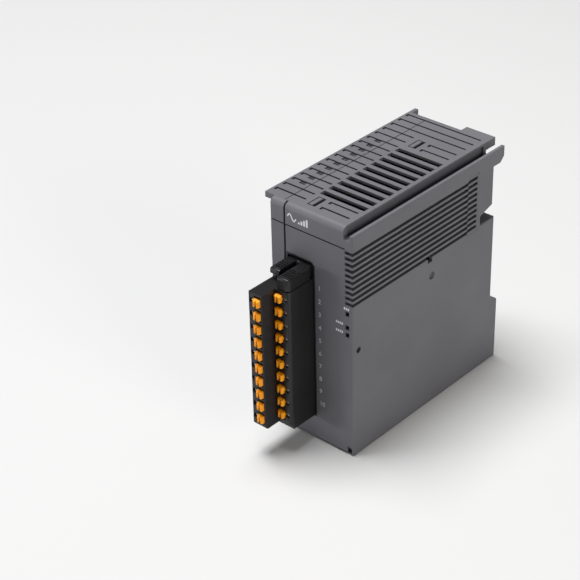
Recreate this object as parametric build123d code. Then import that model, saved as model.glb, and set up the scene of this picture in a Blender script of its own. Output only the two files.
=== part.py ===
from build123d import *
import os

# Analogue input and output module of a rail-mounted programmable controller.
# Millimetres. X runs along the rail, the front faces -Y and +Z is up. The origin is
# the middle of the housing's bottom face, halfway from the front face to the rear
# edge above the rail.

# how far a cut runs past a face, or a joined piece into its neighbour
OVER = 1.0

# ---- Housing ----
WIDTH = 34.8
HEIGHT = 88.0
DEPTH = 75.0
WALL = 2.0
SIDE_WALL = 1.4
LEFT_WALL = 1.6
TOP_RADIUS = 2.0
FOOT_CHAMFER = 1.0
EDGE_BREAK = 0.3
SEAM_FRONT_INSET = 6.2
SEAM_INSET = 4.9
SEAM_WIDTH = 0.7
SEAM_DEPTH = 0.8
SEAM_TOP_WIDTH = 0.24
SEAM_TOP_DEPTH = 0.3
SHELL_HOLE_RADIUS = 1.1
SHELL_HOLE_DEPTH = 1.1
SHELL_HOLE_FROM_FRONT = 3.0
RIGHT_HOLE_Z = 42.0
LEFT_HOLE_Z = 45.0
GATE_RADIUS = 1.45
GATE_SINK = 0.15
GATE_FROM_FRONT = 41.5
GATE_BELOW_GROOVES = 8.0
RELEASE_FROM_FRONT = 39.0
RELEASE_LENGTH = 2.4
RELEASE_DROP = 2.3
BAND_FROM_TOP = 7.7
BAND_WIDTH = 0.45
BAND_DEPTH = 0.4

LEFT = -WIDTH / 2
RIGHT = WIDTH / 2
FRONT = -DEPTH / 2
BACK = DEPTH / 2
SEAM_FRONT_X = LEFT + SEAM_FRONT_INSET
SEAM_X = LEFT + SEAM_INSET

# ---- Rear profile and mounting rail ----
RAIL_HEIGHT = 35.0
RAIL_FLANGE = 1.0
RAIL_LOW = 26.5
RAIL_SLOT_GAP = 0.35
SEAT_PROUD = 1.3
STEP_PROUD = 5.3
STEP_SLOPE = 2.7
STEP_OVER_RAIL = 0.5
NOTCH_DEPTH = 6.8
NOTCH_HEIGHT = 5.3
NOTCH_SLOPE = 2.0
NOTCH_BELOW_RAIL_TOP = 1.5
HOOK_WIDTH = 16.0
HOOK_THICKNESS = 4.2
HOOK_CLEARANCE = 0.8
HOOK_ROOT_DROP = 2.0
HOOK_LIP_OVER = 1.0
HOOK_CHAMFER = 0.6

SEAT_Y = BACK + SEAT_PROUD
STEP_Y = BACK + STEP_PROUD
STEP_TOP = RAIL_LOW + STEP_OVER_RAIL
RAIL_HIGH = RAIL_LOW + RAIL_HEIGHT
NOTCH_LOW = RAIL_HIGH - NOTCH_BELOW_RAIL_TOP
NOTCH_TOP = NOTCH_LOW + NOTCH_HEIGHT
NOTCH_Y = BACK - NOTCH_DEPTH

# ---- Top: channel for the next module's tongue, lip, tongue and vents ----
CHANNEL_WIDTH = 2.5
CHANNEL_DEPTH = 4.5
CHANNEL_UNDERCUT = 0.8
CHANNEL_RIM = 0.9
CHANNEL_ROUND = 0.8
LIP_WIDTH = 1.2
LIP_DROP = 2.25
LIP_TAB = 5.6
LIP_TAB_HEIGHT = 5.7
LIP_TAB_CHAMFER = 2.0
ROW_GAP = 0.2
TONGUE_FIT = 0.1
TONGUE_THICKNESS = 2.0
TONGUE_HOOK_WIDTH = 2.1
TONGUE_HOOK_INSET = 0.15
TONGUE_END = 5.4
TONGUE_END_WIDTH = 1.4
TONGUE_HOOK_DROP = 4.2
TONGUE_START = 2.0
TONGUE_HOOK_START = 5.0
TOP_OVERHANG = 2.0
TOP_TAB = 5.2
TOP_TAB_THICKNESS = 3.0
UNDERCUT_END = 1.5
TOP_TAB_INSET = 19.0
VENT_COUNT = 17
VENT_FIRST = 6.4
VENT_LAST_GAP = 0.1
VENT_LINE = 0.75
VENT_LINE_DEPTH = 0.9
VENT_LINE_MARGIN = 0.9
VENT_TICK = 1.3
VENT_TICK_WIDTH = 0.95
VENT_PLATE = 1.0
VENT_PLATE_MARGIN = 0.8
VENT_OPEN_FIRST = 2
VENT_OPEN_LAST = 11
VENT_PART_COUNT = 2
VENT_SLOT = 2.45
VENT_SLOT_LEFT = 10.9
VENT_SLOT_RIGHT = 5.3
VENT_SLOT_LEAD = 0.4
VENT_HOLE = 1.75
VENT_HOLE_LEFT = 0.8
VENT_HOLE_WIDTH = 2.5
VENT_HOLE_DEPTH = 6.0
VENT_LINE_END = 10.0
VENT_LINE_RIGHT = 2.2
VENT_PART_START = 17.3
VENT_PART_SHIFT = 0.8
SNAP_LEFT = 12.2
SNAP_WIDTH = 3.2
SNAP_LENGTH = 6.0
SNAP_SLOT = 1.3
SNAP_BEFORE_LINE = 2.0
SNAP_REAR_BEFORE_LINE = 1.8
SNAP_SINK = 0.5
SNAP_RIM = 0.35

CHANNEL_X = RIGHT - LIP_WIDTH - CHANNEL_WIDTH
TONGUE_X = LEFT - (LIP_WIDTH + CHANNEL_WIDTH + ROW_GAP - TONGUE_FIT)
LIP_X = RIGHT - LIP_WIDTH
CHANNEL_Z = HEIGHT - CHANNEL_DEPTH
LIP_Z = HEIGHT - LIP_DROP
VENT_PITCH = (DEPTH - VENT_FIRST - VENT_LAST_GAP) / (VENT_COUNT - 1)

# ---- Side bus: ten guide grooves, socket on the right, pins on the left ----
BUS_COUNT = 10
BUS_PITCH = 2.1
BUS_FROM_TOP = 8.8
GROOVE_WIDTH = 1.2
GROOVE_DEPTH = 3.2
GROOVE_FLOOR_WALL = 1.2
SOCKET_FROM_BACK = 14.4
SOCKET_LENGTH = 6.0
SOCKET_MARGIN = 1.5
SOCKET_SHIFT = 0.5
SOCKET_END_WALL = 0.8
SOCKET_LOW_TRIM = 0.1
CONTACT_SET_BACK = 1.6
SOCKET_DEPTH = 5.0
SOCKET_FIT = 0.05
PIN_THICKNESS = 0.4
PIN_END_GAP = 0.3
PIN_CHAMFER = 0.9
PIN_TAIL = 0.6
PIN_TAIL_FROM_END = 2.6
PIN_LENGTH = 4.2
PIN_REACH = 2.7
CONTACT_THICKNESS = 0.2
CONTACT_LEAD = 1.0
CONTACT_END_GAP = 0.1
CONTACT_TAIL_FROM_FRONT = 2.6
SOLDER_TAIL = 0.6
CARRIER_THICKNESS = 2.6
CARRIER_MARGIN = 0.5
PIN_WINDOW_GAP = 0.2

SOCKET_Y = BACK - SOCKET_FROM_BACK
SOCKET_BACK_Y = SOCKET_Y + SOCKET_LENGTH
SLOT_END_Y = SOCKET_BACK_Y - SOCKET_END_WALL
PIN_BACK_Y = SLOT_END_Y - PIN_END_GAP
PIN_TAIL_Y = PIN_BACK_Y - PIN_TAIL_FROM_END
CONTACT_TAIL_Y = SOCKET_Y + CONTACT_TAIL_FROM_FRONT
BUS_TOP_Z = HEIGHT - BUS_FROM_TOP
BUS_LOW_Z = BUS_TOP_Z - BUS_PITCH * (BUS_COUNT - 1)
# the contact lies on the lower side of its slot, and the next module's pin on the contact
CONTACT_LIFT = SOCKET_SHIFT - GROOVE_WIDTH / 2 + CONTACT_THICKNESS / 2
PIN_LIFT = CONTACT_LIFT + CONTACT_THICKNESS / 2 + PIN_THICKNESS / 2

# ---- Terminal plug, its header and release lever ----
POLES = 10
POLE_PITCH = 5.08
FIRST_POLE_Z = 15.78
END_CHEEK = 3.2
TOP_CHEEK = 0.3
PLUG_INSET = 7.2
HIGH_TIER = 5.7
LOW_TIER = 5.4
HIGH_PROUD = 19.2
LOW_PROUD = 12.6
PLUG_GAP = 0.2
PLUG_CORNER = 1.6
TONGUE_DEPTH = 8.0
HEADER_WALL = 0.85
HEADER_FIT = 0.15
HEADER_DEPTH = 10.0
HEADER_FLOOR = 1.6
HEADER_RIGHT_MARGIN = 0.35
HEADER_LOW_MARGIN = 0.45
HEADER_CORNER = 1.2
HEADER_FLANGE = 1.0
HEADER_FLANGE_THICKNESS = 1.2
HEADER_FLANGE_GAP = 0.1
HEADER_SILL = 0.4
HEADER_ROOF = 0.5
PLUG_ROOM_HEAD = 0.1
LEVER_ROOM_FLOOR = 0.3
LEVER_ROOM_BACK = 0.6
LEVER_ROOM_CORNER = 0.5
BUTTON_WIDTH = 2.6
BUTTON_HEIGHT = 2.6
BUTTON_PROUD = 1.2
BUTTON_MOUTH_HEIGHT = 4.3
BUTTON_MOUTH_DEPTH = 1.3
BUTTON_DEPTH = 6.0
BUTTON_TRAVEL = 1.2
BUTTON_FIT = 0.1
BUTTON_GROOVE = 0.65
BUTTON_CROWN = 0.75
BUTTON_NOTCH = 0.7
BUTTON_NOTCH_DEPTH = 1.2
BUTTON_SLOPE_TOP = 0.45
BUTTON_SLOPE_START = 0.9
HIGH_BUTTON_INSET = 0.45
LOW_BUTTON_INSET = 0.25
HIGH_EDGE = 0.25
ENTRY_RADIUS = 0.75
ENTRY_MOUTH = 1.1
ENTRY_FUNNEL = 0.8
HIGH_ENTRY_INSET = 1.4
LOW_ENTRY_INSET = 1.6
ENTRY_DEPTH = 8.0
CLAMP_GAP = 1.1
CLAMP_SHEET = 0.35
CLAMP_HEIGHT = 2.0
CLAMP_FRONT_GAP = 0.2
CLAMP_BACK_GAP = 0.2
CHAMBER_END_WALL = 1.2
CHAMBER_LAP = 0.5
BUTTON_END_GAP = 0.3
CHAMBER_WIDTH = 2.4
CHAMBER_HEIGHT = 3.4
HEADER_PIN = 0.8
HEADER_PIN_TIP = 3.0
HEADER_PIN_SHIFT = 0.3
HEADER_TAIL_NEAR = 3.5
HEADER_TAIL_FAR = 7.0
PIN_HOLE_FIT = 0.25
DIMPLE = 0.9
DIMPLE_DEPTH = 0.35
DIMPLE_FROM_TIP = 1.6
PLUG_FOOT_HEIGHT = 1.6
PLUG_FOOT_SET_BACK = 1.6
TONGUE_LOW = 0.6
TONGUE_HIGH = 0.1
LEVER_GAP = 0.35
LEVER_HEIGHT = 4.7
LEVER_BASE = 1.8
LEVER_CHANNEL = 2.4
LEVER_CHANNEL_X = 5.3
LEVER_LEFT_REACH = 8.8
LEVER_LEFT_LOWER = 0.4
LEVER_LEFT_GAP = 1.9
LEVER_RIGHT_REACH = 12.4
LEVER_WIDE_END = 1.9
LEVER_CROWN = 0.8
LEVER_SIDE_GAP = 0.25
LEVER_BOSS_RADIUS = 2.1
LEVER_BOSS_LIFT = 0.1
LEVER_BRIDGE_SHORT = 3.6
LEVER_NECK_LOW = 0.4
LEVER_NECK_DROP = 0.3
LEVER_PIN_RADIUS = 0.8
LEVER_PIN_FIT = 0.05
LEVER_PIVOT_Y = 1.3
LEVER_RIBS = 6
LEVER_RIB_PITCH = 1.05
LEVER_RIB = 0.5
LEVER_RIB_HEIGHT = 0.45
LEVER_POCKET_ROOF = 0.75

PLUG_X0 = LEFT + PLUG_INSET
PLUG_MID_X = PLUG_X0 + HIGH_TIER
PLUG_X1 = PLUG_MID_X + LOW_TIER
PLUG_Z0 = FIRST_POLE_Z - POLE_PITCH / 2 - END_CHEEK
PLUG_Z1 = FIRST_POLE_Z + POLE_PITCH * (POLES - 0.5) + TOP_CHEEK
HIGH_Y = FRONT - HIGH_PROUD
LOW_Y = FRONT - LOW_PROUD
HEADER_X0 = SEAM_FRONT_X + HEADER_FIT
HEADER_X1 = PLUG_X1 + HEADER_RIGHT_MARGIN
LEVER_Z0 = PLUG_Z1 + LEVER_GAP
LEVER_Z1 = LEVER_Z0 + LEVER_HEIGHT
HEADER_Z0 = PLUG_Z0 - HEADER_LOW_MARGIN
HEADER_Z1 = LEVER_Z1 + LEVER_POCKET_ROOF
PIVOT_Y = FRONT + LEVER_PIVOT_Y
PIVOT_Z = LEVER_Z0 + LEVER_BOSS_RADIUS + LEVER_BOSS_LIFT
# middle of each tier's buttons, wire entries and contacts
TIERS = {
    "high": {
        "front": HIGH_Y,
        "button": PLUG_MID_X - HIGH_BUTTON_INSET - BUTTON_WIDTH / 2,
        "entry": PLUG_X0 + HIGH_ENTRY_INSET,
    },
    "low": {
        "front": LOW_Y,
        "button": PLUG_MID_X + LOW_BUTTON_INSET + BUTTON_WIDTH / 2,
        "entry": PLUG_X1 - LOW_ENTRY_INSET,
    },
}

# ---- Indicators ----
LED_WIDTH = 1.6
LED_HEIGHT = 1.8
LED_FROM_RIGHT = 2.3
LEDS_BELOW_GROOVES = (4.0, 9.2, 12.1)
LED_CHIP_THICKNESS = 1.6
LED_CHIP_HEIGHT = 1.2
LED_CHIP_FROM_BOARD_END = 0.5
LED_CHIP_OVER = 0.4
GUIDE_BAR = 1.2
GUIDE_BAR_GAP = 0.2
LENS_FIT = 0.05
LENS_RECESS = 1.0
GUIDE_DEPTH = 7.0
KEY_SLOT_WIDTH = 1.9
KEY_SLOT_HEIGHT = 2.3
KEY_SLOT_DEPTH = 1.2
KEY_SLOT_FROM_RIGHT = 2.4
KEY_SLOT_Z = 0.8

LED_X = RIGHT - LED_FROM_RIGHT
LED_HEIGHTS = [BUS_LOW_Z - drop for drop in LEDS_BELOW_GROOVES]

# ---- Boards and parts on them ----
BOARD = 1.6
IO_BOARD_INSET = 5.2
BUS_BOARD_INSET = 6.6
BOARD_LOW = 4.0
BOARD_TOP_GAP = 8.0
BOARD_FRONT_GAP = 12.0
BOARD_BACK_GAP = 0.7
# each part on a board: thickness off the board, length along Y, height, and the
# distance of its front end behind the housing's front
CHIP = (1.6, 7.0, 9.0)
CHIP_FROM_FRONT = 24.0
ISOLATOR = (2.4, 7.5, 10.3)
ISOLATOR_FROM_FRONT = 35.0
CHIP_HEIGHTS = (8.0, 21.0, 34.0, 47.0)
LINK_LENGTH = 20.0
LINK_HEIGHT = 5.0
LINK_FROM_FRONT = 34.0
LINK_FROM_TOP = 15.0
LINK_SOCKET = 8.5
LINK_WALL = 1.2
LINK_FLOOR = 2.0
LINK_FIT = 0.3
LINK_GAP = 0.5
LINK_TIP_GAP = 0.4
CORE = (9.0, 13.0, 14.0)
CORE_STAND = 0.8
CORE_LIMB = 3.0
CORE_FROM_FRONT = 47.0
CORE_Z = 10.0
WINDING_PROUD = 0.6
CAN_RADIUS = 4.0
CAN_LENGTH = 12.0
CAN_FOOT = (1.2, 10.0, 5.0)
CAN_FROM_FRONT = 47.5
CAN_HEIGHTS = (32.0, 42.0, 52.0)
PROCESSOR = (1.4, 14.0, 14.0)
PROCESSOR_FROM_FRONT = 28.0
PROCESSOR_Z = 40.0
INDUCTOR = (5.0, 12.0, 12.0)
INDUCTOR_FROM_FRONT = 44.0
INDUCTOR_Z = 12.0

IO_X0 = LEFT + IO_BOARD_INSET
IO_X1 = IO_X0 + BOARD
BUS_X0 = RIGHT - BUS_BOARD_INSET
BUS_X1 = BUS_X0 + BOARD
BOARD_Y0 = FRONT + BOARD_FRONT_GAP
BOARD_Y1 = NOTCH_Y - WALL - BOARD_BACK_GAP
BOARD_Z1 = HEIGHT - BOARD_TOP_GAP

# ---- Rail clip and earth spring ----
CLIP_FLANGE = 13.6
CLIP_NECK = 10.4
CLIP_LIP = 1.4
CLIP_FIT = 0.3
CLIP_BACK = 0.1
CLIP_FLANGE_THICKNESS = 1.7
CLIP_FOOT = 0.6
CLIP_HOOK_OVER = 1.7
CLIP_GUIDE_WALL = 1.6
EYE_WIDTH = 5.0
EYE_HEIGHT = 2.2
EYE_Z = 2.2
CLIP_TOP_GAP = 0.4
CLIP_NOSE = 1.3
SPRING_SLOT = 0.7
SPRING_SLOT_LENGTH = 10.0
# X and lower end of each slot that frees the spring leg
SPRING_SLOTS = ((-3.4, 7.0), (-1.2, 9.0), (1.2, 7.0), (3.4, 9.0))
EARTH_WIDTH = 5.0
EARTH_SHEET = 0.4
EARTH_BOW = 0.5
EARTH_FROM_RIGHT = 8.5
EARTH_OVER_RAIL_LOW = 5.5
EARTH_UNDER_NOTCH = 4.0
EARTH_FLAT = 3.0
EARTH_TAB = 3.5
SCREW_RADIUS = 1.4
SCREW_HEAD = 0.7
SCREW_SLOT = 0.4
SCREW_SLOT_DEPTH = 0.3

# ---- Stickers ----
LABEL_THICKNESS = 0.12
RATING_FROM_FRONT = (13.0, 38.0)
RATING_Z = 18.0
RATING_FROM_TOP = 6.5
RATING_CUT = 3.5
CODE_FROM_FRONT = (40.0, 58.0)
CODE_Z = (36.0, 50.0)
CODE_CUT = 2.5


def block(x, y, z):
    """A box between a low and a high limit on each axis."""
    limits = (x, y, z)
    middle = [(low + high) / 2 for low, high in limits]
    size = [high - low for low, high in limits]
    return Pos(*middle) * Box(*size)


def join(*pieces):
    """One shape from several that touch, or a group of loose ones."""
    return Part() + list(pieces)


def side_outline():
    """The housing seen from the side, with Y across and Z up."""
    points = [
        (FRONT, FOOT_CHAMFER),
        (FRONT + FOOT_CHAMFER, 0),
        (STEP_Y, 0),
        (STEP_Y, STEP_TOP - STEP_SLOPE),
        (SEAT_Y, STEP_TOP),
        (SEAT_Y, NOTCH_LOW),
        (NOTCH_Y, NOTCH_LOW),
        (NOTCH_Y, NOTCH_TOP - NOTCH_SLOPE),
        (BACK, NOTCH_TOP),
        (BACK, HEIGHT),
        (FRONT, HEIGHT),
    ]
    face = make_face(Polyline(*points, close=True))
    front_edge = face.vertices().sort_by_distance((FRONT, HEIGHT, 0))[0]
    return fillet(front_edge, TOP_RADIUS)


def slab(outline, x0, x1):
    """A side outline given a thickness along X."""
    return extrude(Plane.YZ.offset(x0) * outline, amount=x1 - x0)


OUTLINE = side_outline()
INNER = offset(OUTLINE, amount=-WALL, kind=Kind.INTERSECTION)


def pole_z(index):
    """Height of a pole's middle, counted from the bottom."""
    return FIRST_POLE_Z + POLE_PITCH * index


def bus_z(index):
    """Height of a guide groove's middle, counted from the bottom."""
    return BUS_LOW_Z + BUS_PITCH * index


def cavity():
    """The room inside both shells, less the thick corners at the right."""
    room = slab(INNER, LEFT + LEFT_WALL, RIGHT - SIDE_WALL)
    channel_wall = block(
        (CHANNEL_X - CHANNEL_UNDERCUT - SIDE_WALL, RIGHT),
        (FRONT, STEP_Y),
        (CHANNEL_Z - SIDE_WALL, HEIGHT),
    )
    groove_wall = block(
        (RIGHT - GROOVE_DEPTH - GROOVE_FLOOR_WALL, RIGHT),
        (FRONT, SOCKET_BACK_Y + GROOVE_FLOOR_WALL),
        (BUS_LOW_Z - SOCKET_MARGIN, HEIGHT),
    )
    clip_guide = block(
        (-CLIP_FLANGE / 2 - CLIP_FIT - CLIP_GUIDE_WALL, CLIP_FLANGE / 2 + CLIP_FIT + CLIP_GUIDE_WALL),
        (SEAT_Y - WALL, STEP_Y),
        (0, STEP_TOP),
    )
    return room - [channel_wall, groove_wall, clip_guide]


def seam_groove():
    """The fine groove where the two shells meet, wider on the front."""
    half = SEAM_TOP_WIDTH / 2
    skin = offset(OUTLINE, amount=-SEAM_TOP_DEPTH, kind=Kind.INTERSECTION)
    ring = slab(OUTLINE, SEAM_X - half, SEAM_X + half) - slab(skin, SEAM_X - half, SEAM_X + half)
    ring -= block((LEFT, RIGHT), (FRONT - OVER, FRONT + WALL), (-OVER, HEIGHT + OVER))
    front_x = (SEAM_FRONT_X - SEAM_WIDTH / 2, SEAM_FRONT_X + SEAM_WIDTH / 2)
    front_line = block(front_x, (FRONT - OVER, FRONT + SEAM_DEPTH), (-OVER, HEIGHT + OVER))
    front_top = block(front_x, (FRONT - OVER, FRONT + WALL), (HEIGHT - SEAM_DEPTH, HEIGHT + OVER))
    return [ring, front_line, front_top]


def band_groove():
    """The fine line across the front under the top band."""
    middle = HEIGHT - BAND_FROM_TOP
    return block(
        (LEFT - OVER, RIGHT - GROOVE_DEPTH),
        (FRONT - OVER, FRONT + BAND_DEPTH),
        (middle - BAND_WIDTH / 2, middle + BAND_WIDTH / 2),
    )


def header_frame(gap, y0, y1):
    """The outline of the header with one cut corner, with a gap around it."""
    frame = block(
        (SEAM_FRONT_X + HEADER_FIT - gap, HEADER_X1 + gap),
        (y0, y1),
        (HEADER_Z0 - gap, HEADER_Z1 + gap),
    )
    corner = frame.edges().filter_by(Axis.Y).group_by(Axis.Z)[-1].sort_by(Axis.X)[-1]
    return chamfer(corner, HEADER_CORNER)


def header_opening():
    return header_frame(HEADER_FIT, FRONT - OVER, FRONT + WALL + OVER)


def vent_lines():
    """Fine grooves across the top, each with a tick at its left end."""
    cuts = []
    top = (HEIGHT - VENT_LINE_DEPTH, HEIGHT + OVER)
    left = TONGUE_X + VENT_LINE_MARGIN
    half = VENT_LINE / 2
    for index in range(VENT_COUNT):
        y = FRONT + VENT_FIRST + VENT_PITCH * index
        beside_snap = index < VENT_OPEN_FIRST or VENT_OPEN_LAST < index <= VENT_OPEN_LAST + VENT_PART_COUNT
        if beside_snap or VENT_OPEN_FIRST <= index <= VENT_OPEN_LAST:
            end = LEFT + VENT_LINE_END
        else:
            end = CHANNEL_X - VENT_LINE_RIGHT
        cuts.append(block((left, end), (y - half, y + half), top))
        cuts.append(block((left, left + VENT_TICK_WIDTH), (y - VENT_TICK, y), top))
        if beside_snap:
            part = y - VENT_PART_SHIFT
            start = LEFT + VENT_PART_START
            cuts.append(block((start, CHANNEL_X - VENT_LINE_RIGHT), (part - half, part + half), top))
            cuts.append(block((start, start + VENT_TICK_WIDTH), (part - VENT_TICK, part), top))
    return cuts


def vent_openings(slot_z, hole_z):
    """Ten pairs of a small hole and a long slot, each with its own span of heights."""
    cuts = []
    for index in range(VENT_OPEN_FIRST, VENT_OPEN_LAST + 1):
        y = FRONT + VENT_FIRST + VENT_PITCH * index
        hole = (LEFT + VENT_HOLE_LEFT, LEFT + VENT_HOLE_LEFT + VENT_HOLE_WIDTH)
        slot = (LEFT + VENT_SLOT_LEFT, RIGHT - VENT_SLOT_RIGHT)
        slot_end = y - VENT_SLOT_LEAD
        cuts.append(block(hole, (y - VENT_HOLE, y), hole_z))
        cuts.append(block(slot, (slot_end - VENT_SLOT, slot_end), slot_z))
    return cuts


def snap_windows():
    """The two windows on top where the shells' snap hooks show."""
    cuts = []
    starts = (
        FRONT + VENT_FIRST - SNAP_BEFORE_LINE,
        FRONT + VENT_FIRST + VENT_PITCH * (VENT_OPEN_LAST + 1) - SNAP_REAR_BEFORE_LINE,
    )
    for start in starts:
        left = LEFT + SNAP_LEFT
        window = block(
            (left, left + SNAP_WIDTH), (start, start + SNAP_LENGTH), (HEIGHT - SNAP_SINK, HEIGHT + OVER)
        )
        inner = block(
            (left + SNAP_RIM, left + SNAP_WIDTH - SNAP_SLOT),
            (start + SNAP_RIM, start + SNAP_LENGTH - SNAP_RIM),
            (HEIGHT - OVER, HEIGHT + OVER),
        )
        slot = block(
            (left + SNAP_WIDTH - SNAP_SLOT, left + SNAP_WIDTH),
            (start, start + SNAP_LENGTH),
            (HEIGHT - WALL - OVER, HEIGHT + OVER),
        )
        cuts.extend([window - inner, slot])
    return cuts


def guide_grooves():
    """Ten grooves along the right side, open at the front."""
    half = GROOVE_WIDTH / 2
    return [
        block(
            (RIGHT - GROOVE_DEPTH, RIGHT + OVER),
            (FRONT - OVER, SOCKET_Y),
            (bus_z(index) - half, bus_z(index) + half),
        )
        for index in range(BUS_COUNT)
    ]


def socket_room(fit):
    """The space of the bus socket in the right wall, with a clearance."""
    return block(
        (RIGHT - SOCKET_DEPTH - fit, RIGHT),
        (SOCKET_Y - fit, SOCKET_BACK_Y + fit),
        (BUS_LOW_Z - SOCKET_MARGIN + SOCKET_LOW_TRIM - fit, BUS_TOP_Z + SOCKET_MARGIN + SOCKET_SHIFT + fit),
    )


def clip_room():
    """The T-shaped channel that the rail clip slides in."""
    flange = CLIP_FLANGE / 2 + CLIP_FIT
    neck = CLIP_NECK / 2 + CLIP_FIT
    floor = STEP_Y - CLIP_LIP - CLIP_FLANGE_THICKNESS - 2 * CLIP_FIT
    return [
        block((-flange, flange), (floor, STEP_Y - CLIP_LIP), (-OVER, STEP_TOP + OVER)),
        block((-neck, neck), (floor, STEP_Y + OVER), (-OVER, STEP_TOP + OVER)),
    ]


def led_windows():
    """Three windows in the front wall for the light guide."""
    return [
        block(
            (LED_X - LED_WIDTH / 2, LED_X + LED_WIDTH / 2),
            (FRONT - OVER, FRONT + WALL + OVER),
            (z - LED_HEIGHT / 2, z + LED_HEIGHT / 2),
        )
        for z in LED_HEIGHTS
    ]


def shell_hole(x, z):
    """A blind tool hole near the front of a side wall."""
    return Pos(x, FRONT + SHELL_HOLE_FROM_FRONT, z) * Rotation(0, 90, 0) * Cylinder(
        SHELL_HOLE_RADIUS, 2 * SHELL_HOLE_DEPTH
    )


def side_marks():
    """A tool hole, a gate mark and a release hole on the right side."""
    gate = Pos(
        RIGHT + GATE_SINK, FRONT + GATE_FROM_FRONT, BUS_LOW_Z - GATE_BELOW_GROOVES
    ) * Sphere(GATE_RADIUS)
    release = block(
        (RIGHT - GROOVE_DEPTH, RIGHT + OVER),
        (FRONT + RELEASE_FROM_FRONT, FRONT + RELEASE_FROM_FRONT + RELEASE_LENGTH),
        (BUS_LOW_Z - RELEASE_DROP, BUS_LOW_Z),
    )
    return [shell_hole(RIGHT, RIGHT_HOLE_Z), gate, release]


def rail_hook():
    """The fixed hook that hangs on the rail's upper edge."""
    half = HOOK_WIDTH / 2
    lip_y = SEAT_Y + RAIL_FLANGE + RAIL_SLOT_GAP
    root_z = NOTCH_TOP - HOOK_ROOT_DROP
    bridge = block((-half, half), (BACK - WALL, STEP_Y), (root_z, root_z + HOOK_THICKNESS))
    lip = block((-half, half), (lip_y, STEP_Y), (RAIL_HIGH - HOOK_CLEARANCE - HOOK_LIP_OVER, NOTCH_TOP))
    bar = join(bridge, lip)
    outer = bar.edges().filter_by(Axis.X).group_by(Axis.Y)[-1]
    return chamfer(outer, HOOK_CHAMFER)


def row_channel():
    """The channel for the next module's tongue, with a rounded bottom."""
    channel = block(
        (CHANNEL_X, LIP_X), (FRONT - OVER, BACK + LIP_TAB + OVER), (CHANNEL_Z, HEIGHT + OVER)
    )
    return fillet(channel.edges().filter_by(Axis.Y).group_by(Axis.Z)[0], CHANNEL_ROUND)


def main_case():
    """The larger shell: front, right side, top, bottom and rail seat."""
    shell = slab(OUTLINE, SEAM_X, RIGHT)
    rim = shell.faces().sort_by(Axis.X)[-1].edges()
    shell = chamfer(rim, EDGE_BREAK)
    lip_tab = block((LIP_X, RIGHT), (BACK - OVER, BACK + LIP_TAB), (LIP_Z - LIP_TAB_HEIGHT, LIP_Z))
    lip_end = lip_tab.edges().filter_by(Axis.X).group_by(Axis.Y)[-1].sort_by(Axis.Z)[0]
    lip_tab = chamfer(lip_end, LIP_TAB_CHAMFER)
    tab_z = (HEIGHT - TOP_TAB_THICKNESS, HEIGHT)
    overhang = block((SEAM_X, CHANNEL_X), (BACK - OVER, BACK + TOP_OVERHANG), tab_z)
    top_tab = block((LEFT + TOP_TAB_INSET, CHANNEL_X), (BACK, BACK + TOP_TAB), tab_z)
    shell = join(shell, lip_tab, overhang, top_tab, rail_hook())
    behind = BACK + LIP_TAB + OVER
    cuts = [
        cavity(),
        block((SEAM_X - OVER, SEAM_FRONT_X), (FRONT - OVER, FRONT + WALL), (-OVER, HEIGHT + OVER)),
        row_channel(),
        block((CHANNEL_X + CHANNEL_WIDTH / 2, RIGHT + OVER), (FRONT - OVER, behind), (LIP_Z, HEIGHT + OVER)),
        block(
            (CHANNEL_X - CHANNEL_UNDERCUT, CHANNEL_X + CHANNEL_WIDTH / 2),
            (FRONT + WALL, BACK - UNDERCUT_END),
            (CHANNEL_Z, HEIGHT - CHANNEL_RIM),
        ),
        band_groove(),
        header_opening(),
        socket_room(SOCKET_FIT),
        block(
            (RIGHT - KEY_SLOT_FROM_RIGHT, RIGHT - KEY_SLOT_FROM_RIGHT + KEY_SLOT_WIDTH),
            (FRONT - OVER, FRONT + KEY_SLOT_DEPTH),
            (KEY_SLOT_Z, KEY_SLOT_Z + KEY_SLOT_HEIGHT),
        ),
    ]
    cuts += seam_groove() + vent_lines() + snap_windows() + guide_grooves()
    first = FRONT + VENT_FIRST + VENT_PITCH * VENT_OPEN_FIRST - VENT_SLOT_LEAD - VENT_SLOT
    last = FRONT + VENT_FIRST + VENT_PITCH * VENT_OPEN_LAST
    thin = block(
        (LEFT + VENT_SLOT_LEFT - VENT_PLATE_MARGIN, RIGHT - VENT_SLOT_RIGHT),
        (first - VENT_PLATE_MARGIN, last + VENT_PLATE_MARGIN),
        (HEIGHT - WALL - OVER, HEIGHT - VENT_PLATE),
    )
    cuts.append(thin)
    cuts += vent_openings((HEIGHT - WALL - OVER, HEIGHT + OVER), (HEIGHT - VENT_HOLE_DEPTH, HEIGHT + OVER))
    cuts += vent_openings((-OVER, WALL + OVER), (-OVER, VENT_HOLE_DEPTH))
    cuts += clip_room() + led_windows() + side_marks()
    return shell - cuts


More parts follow.
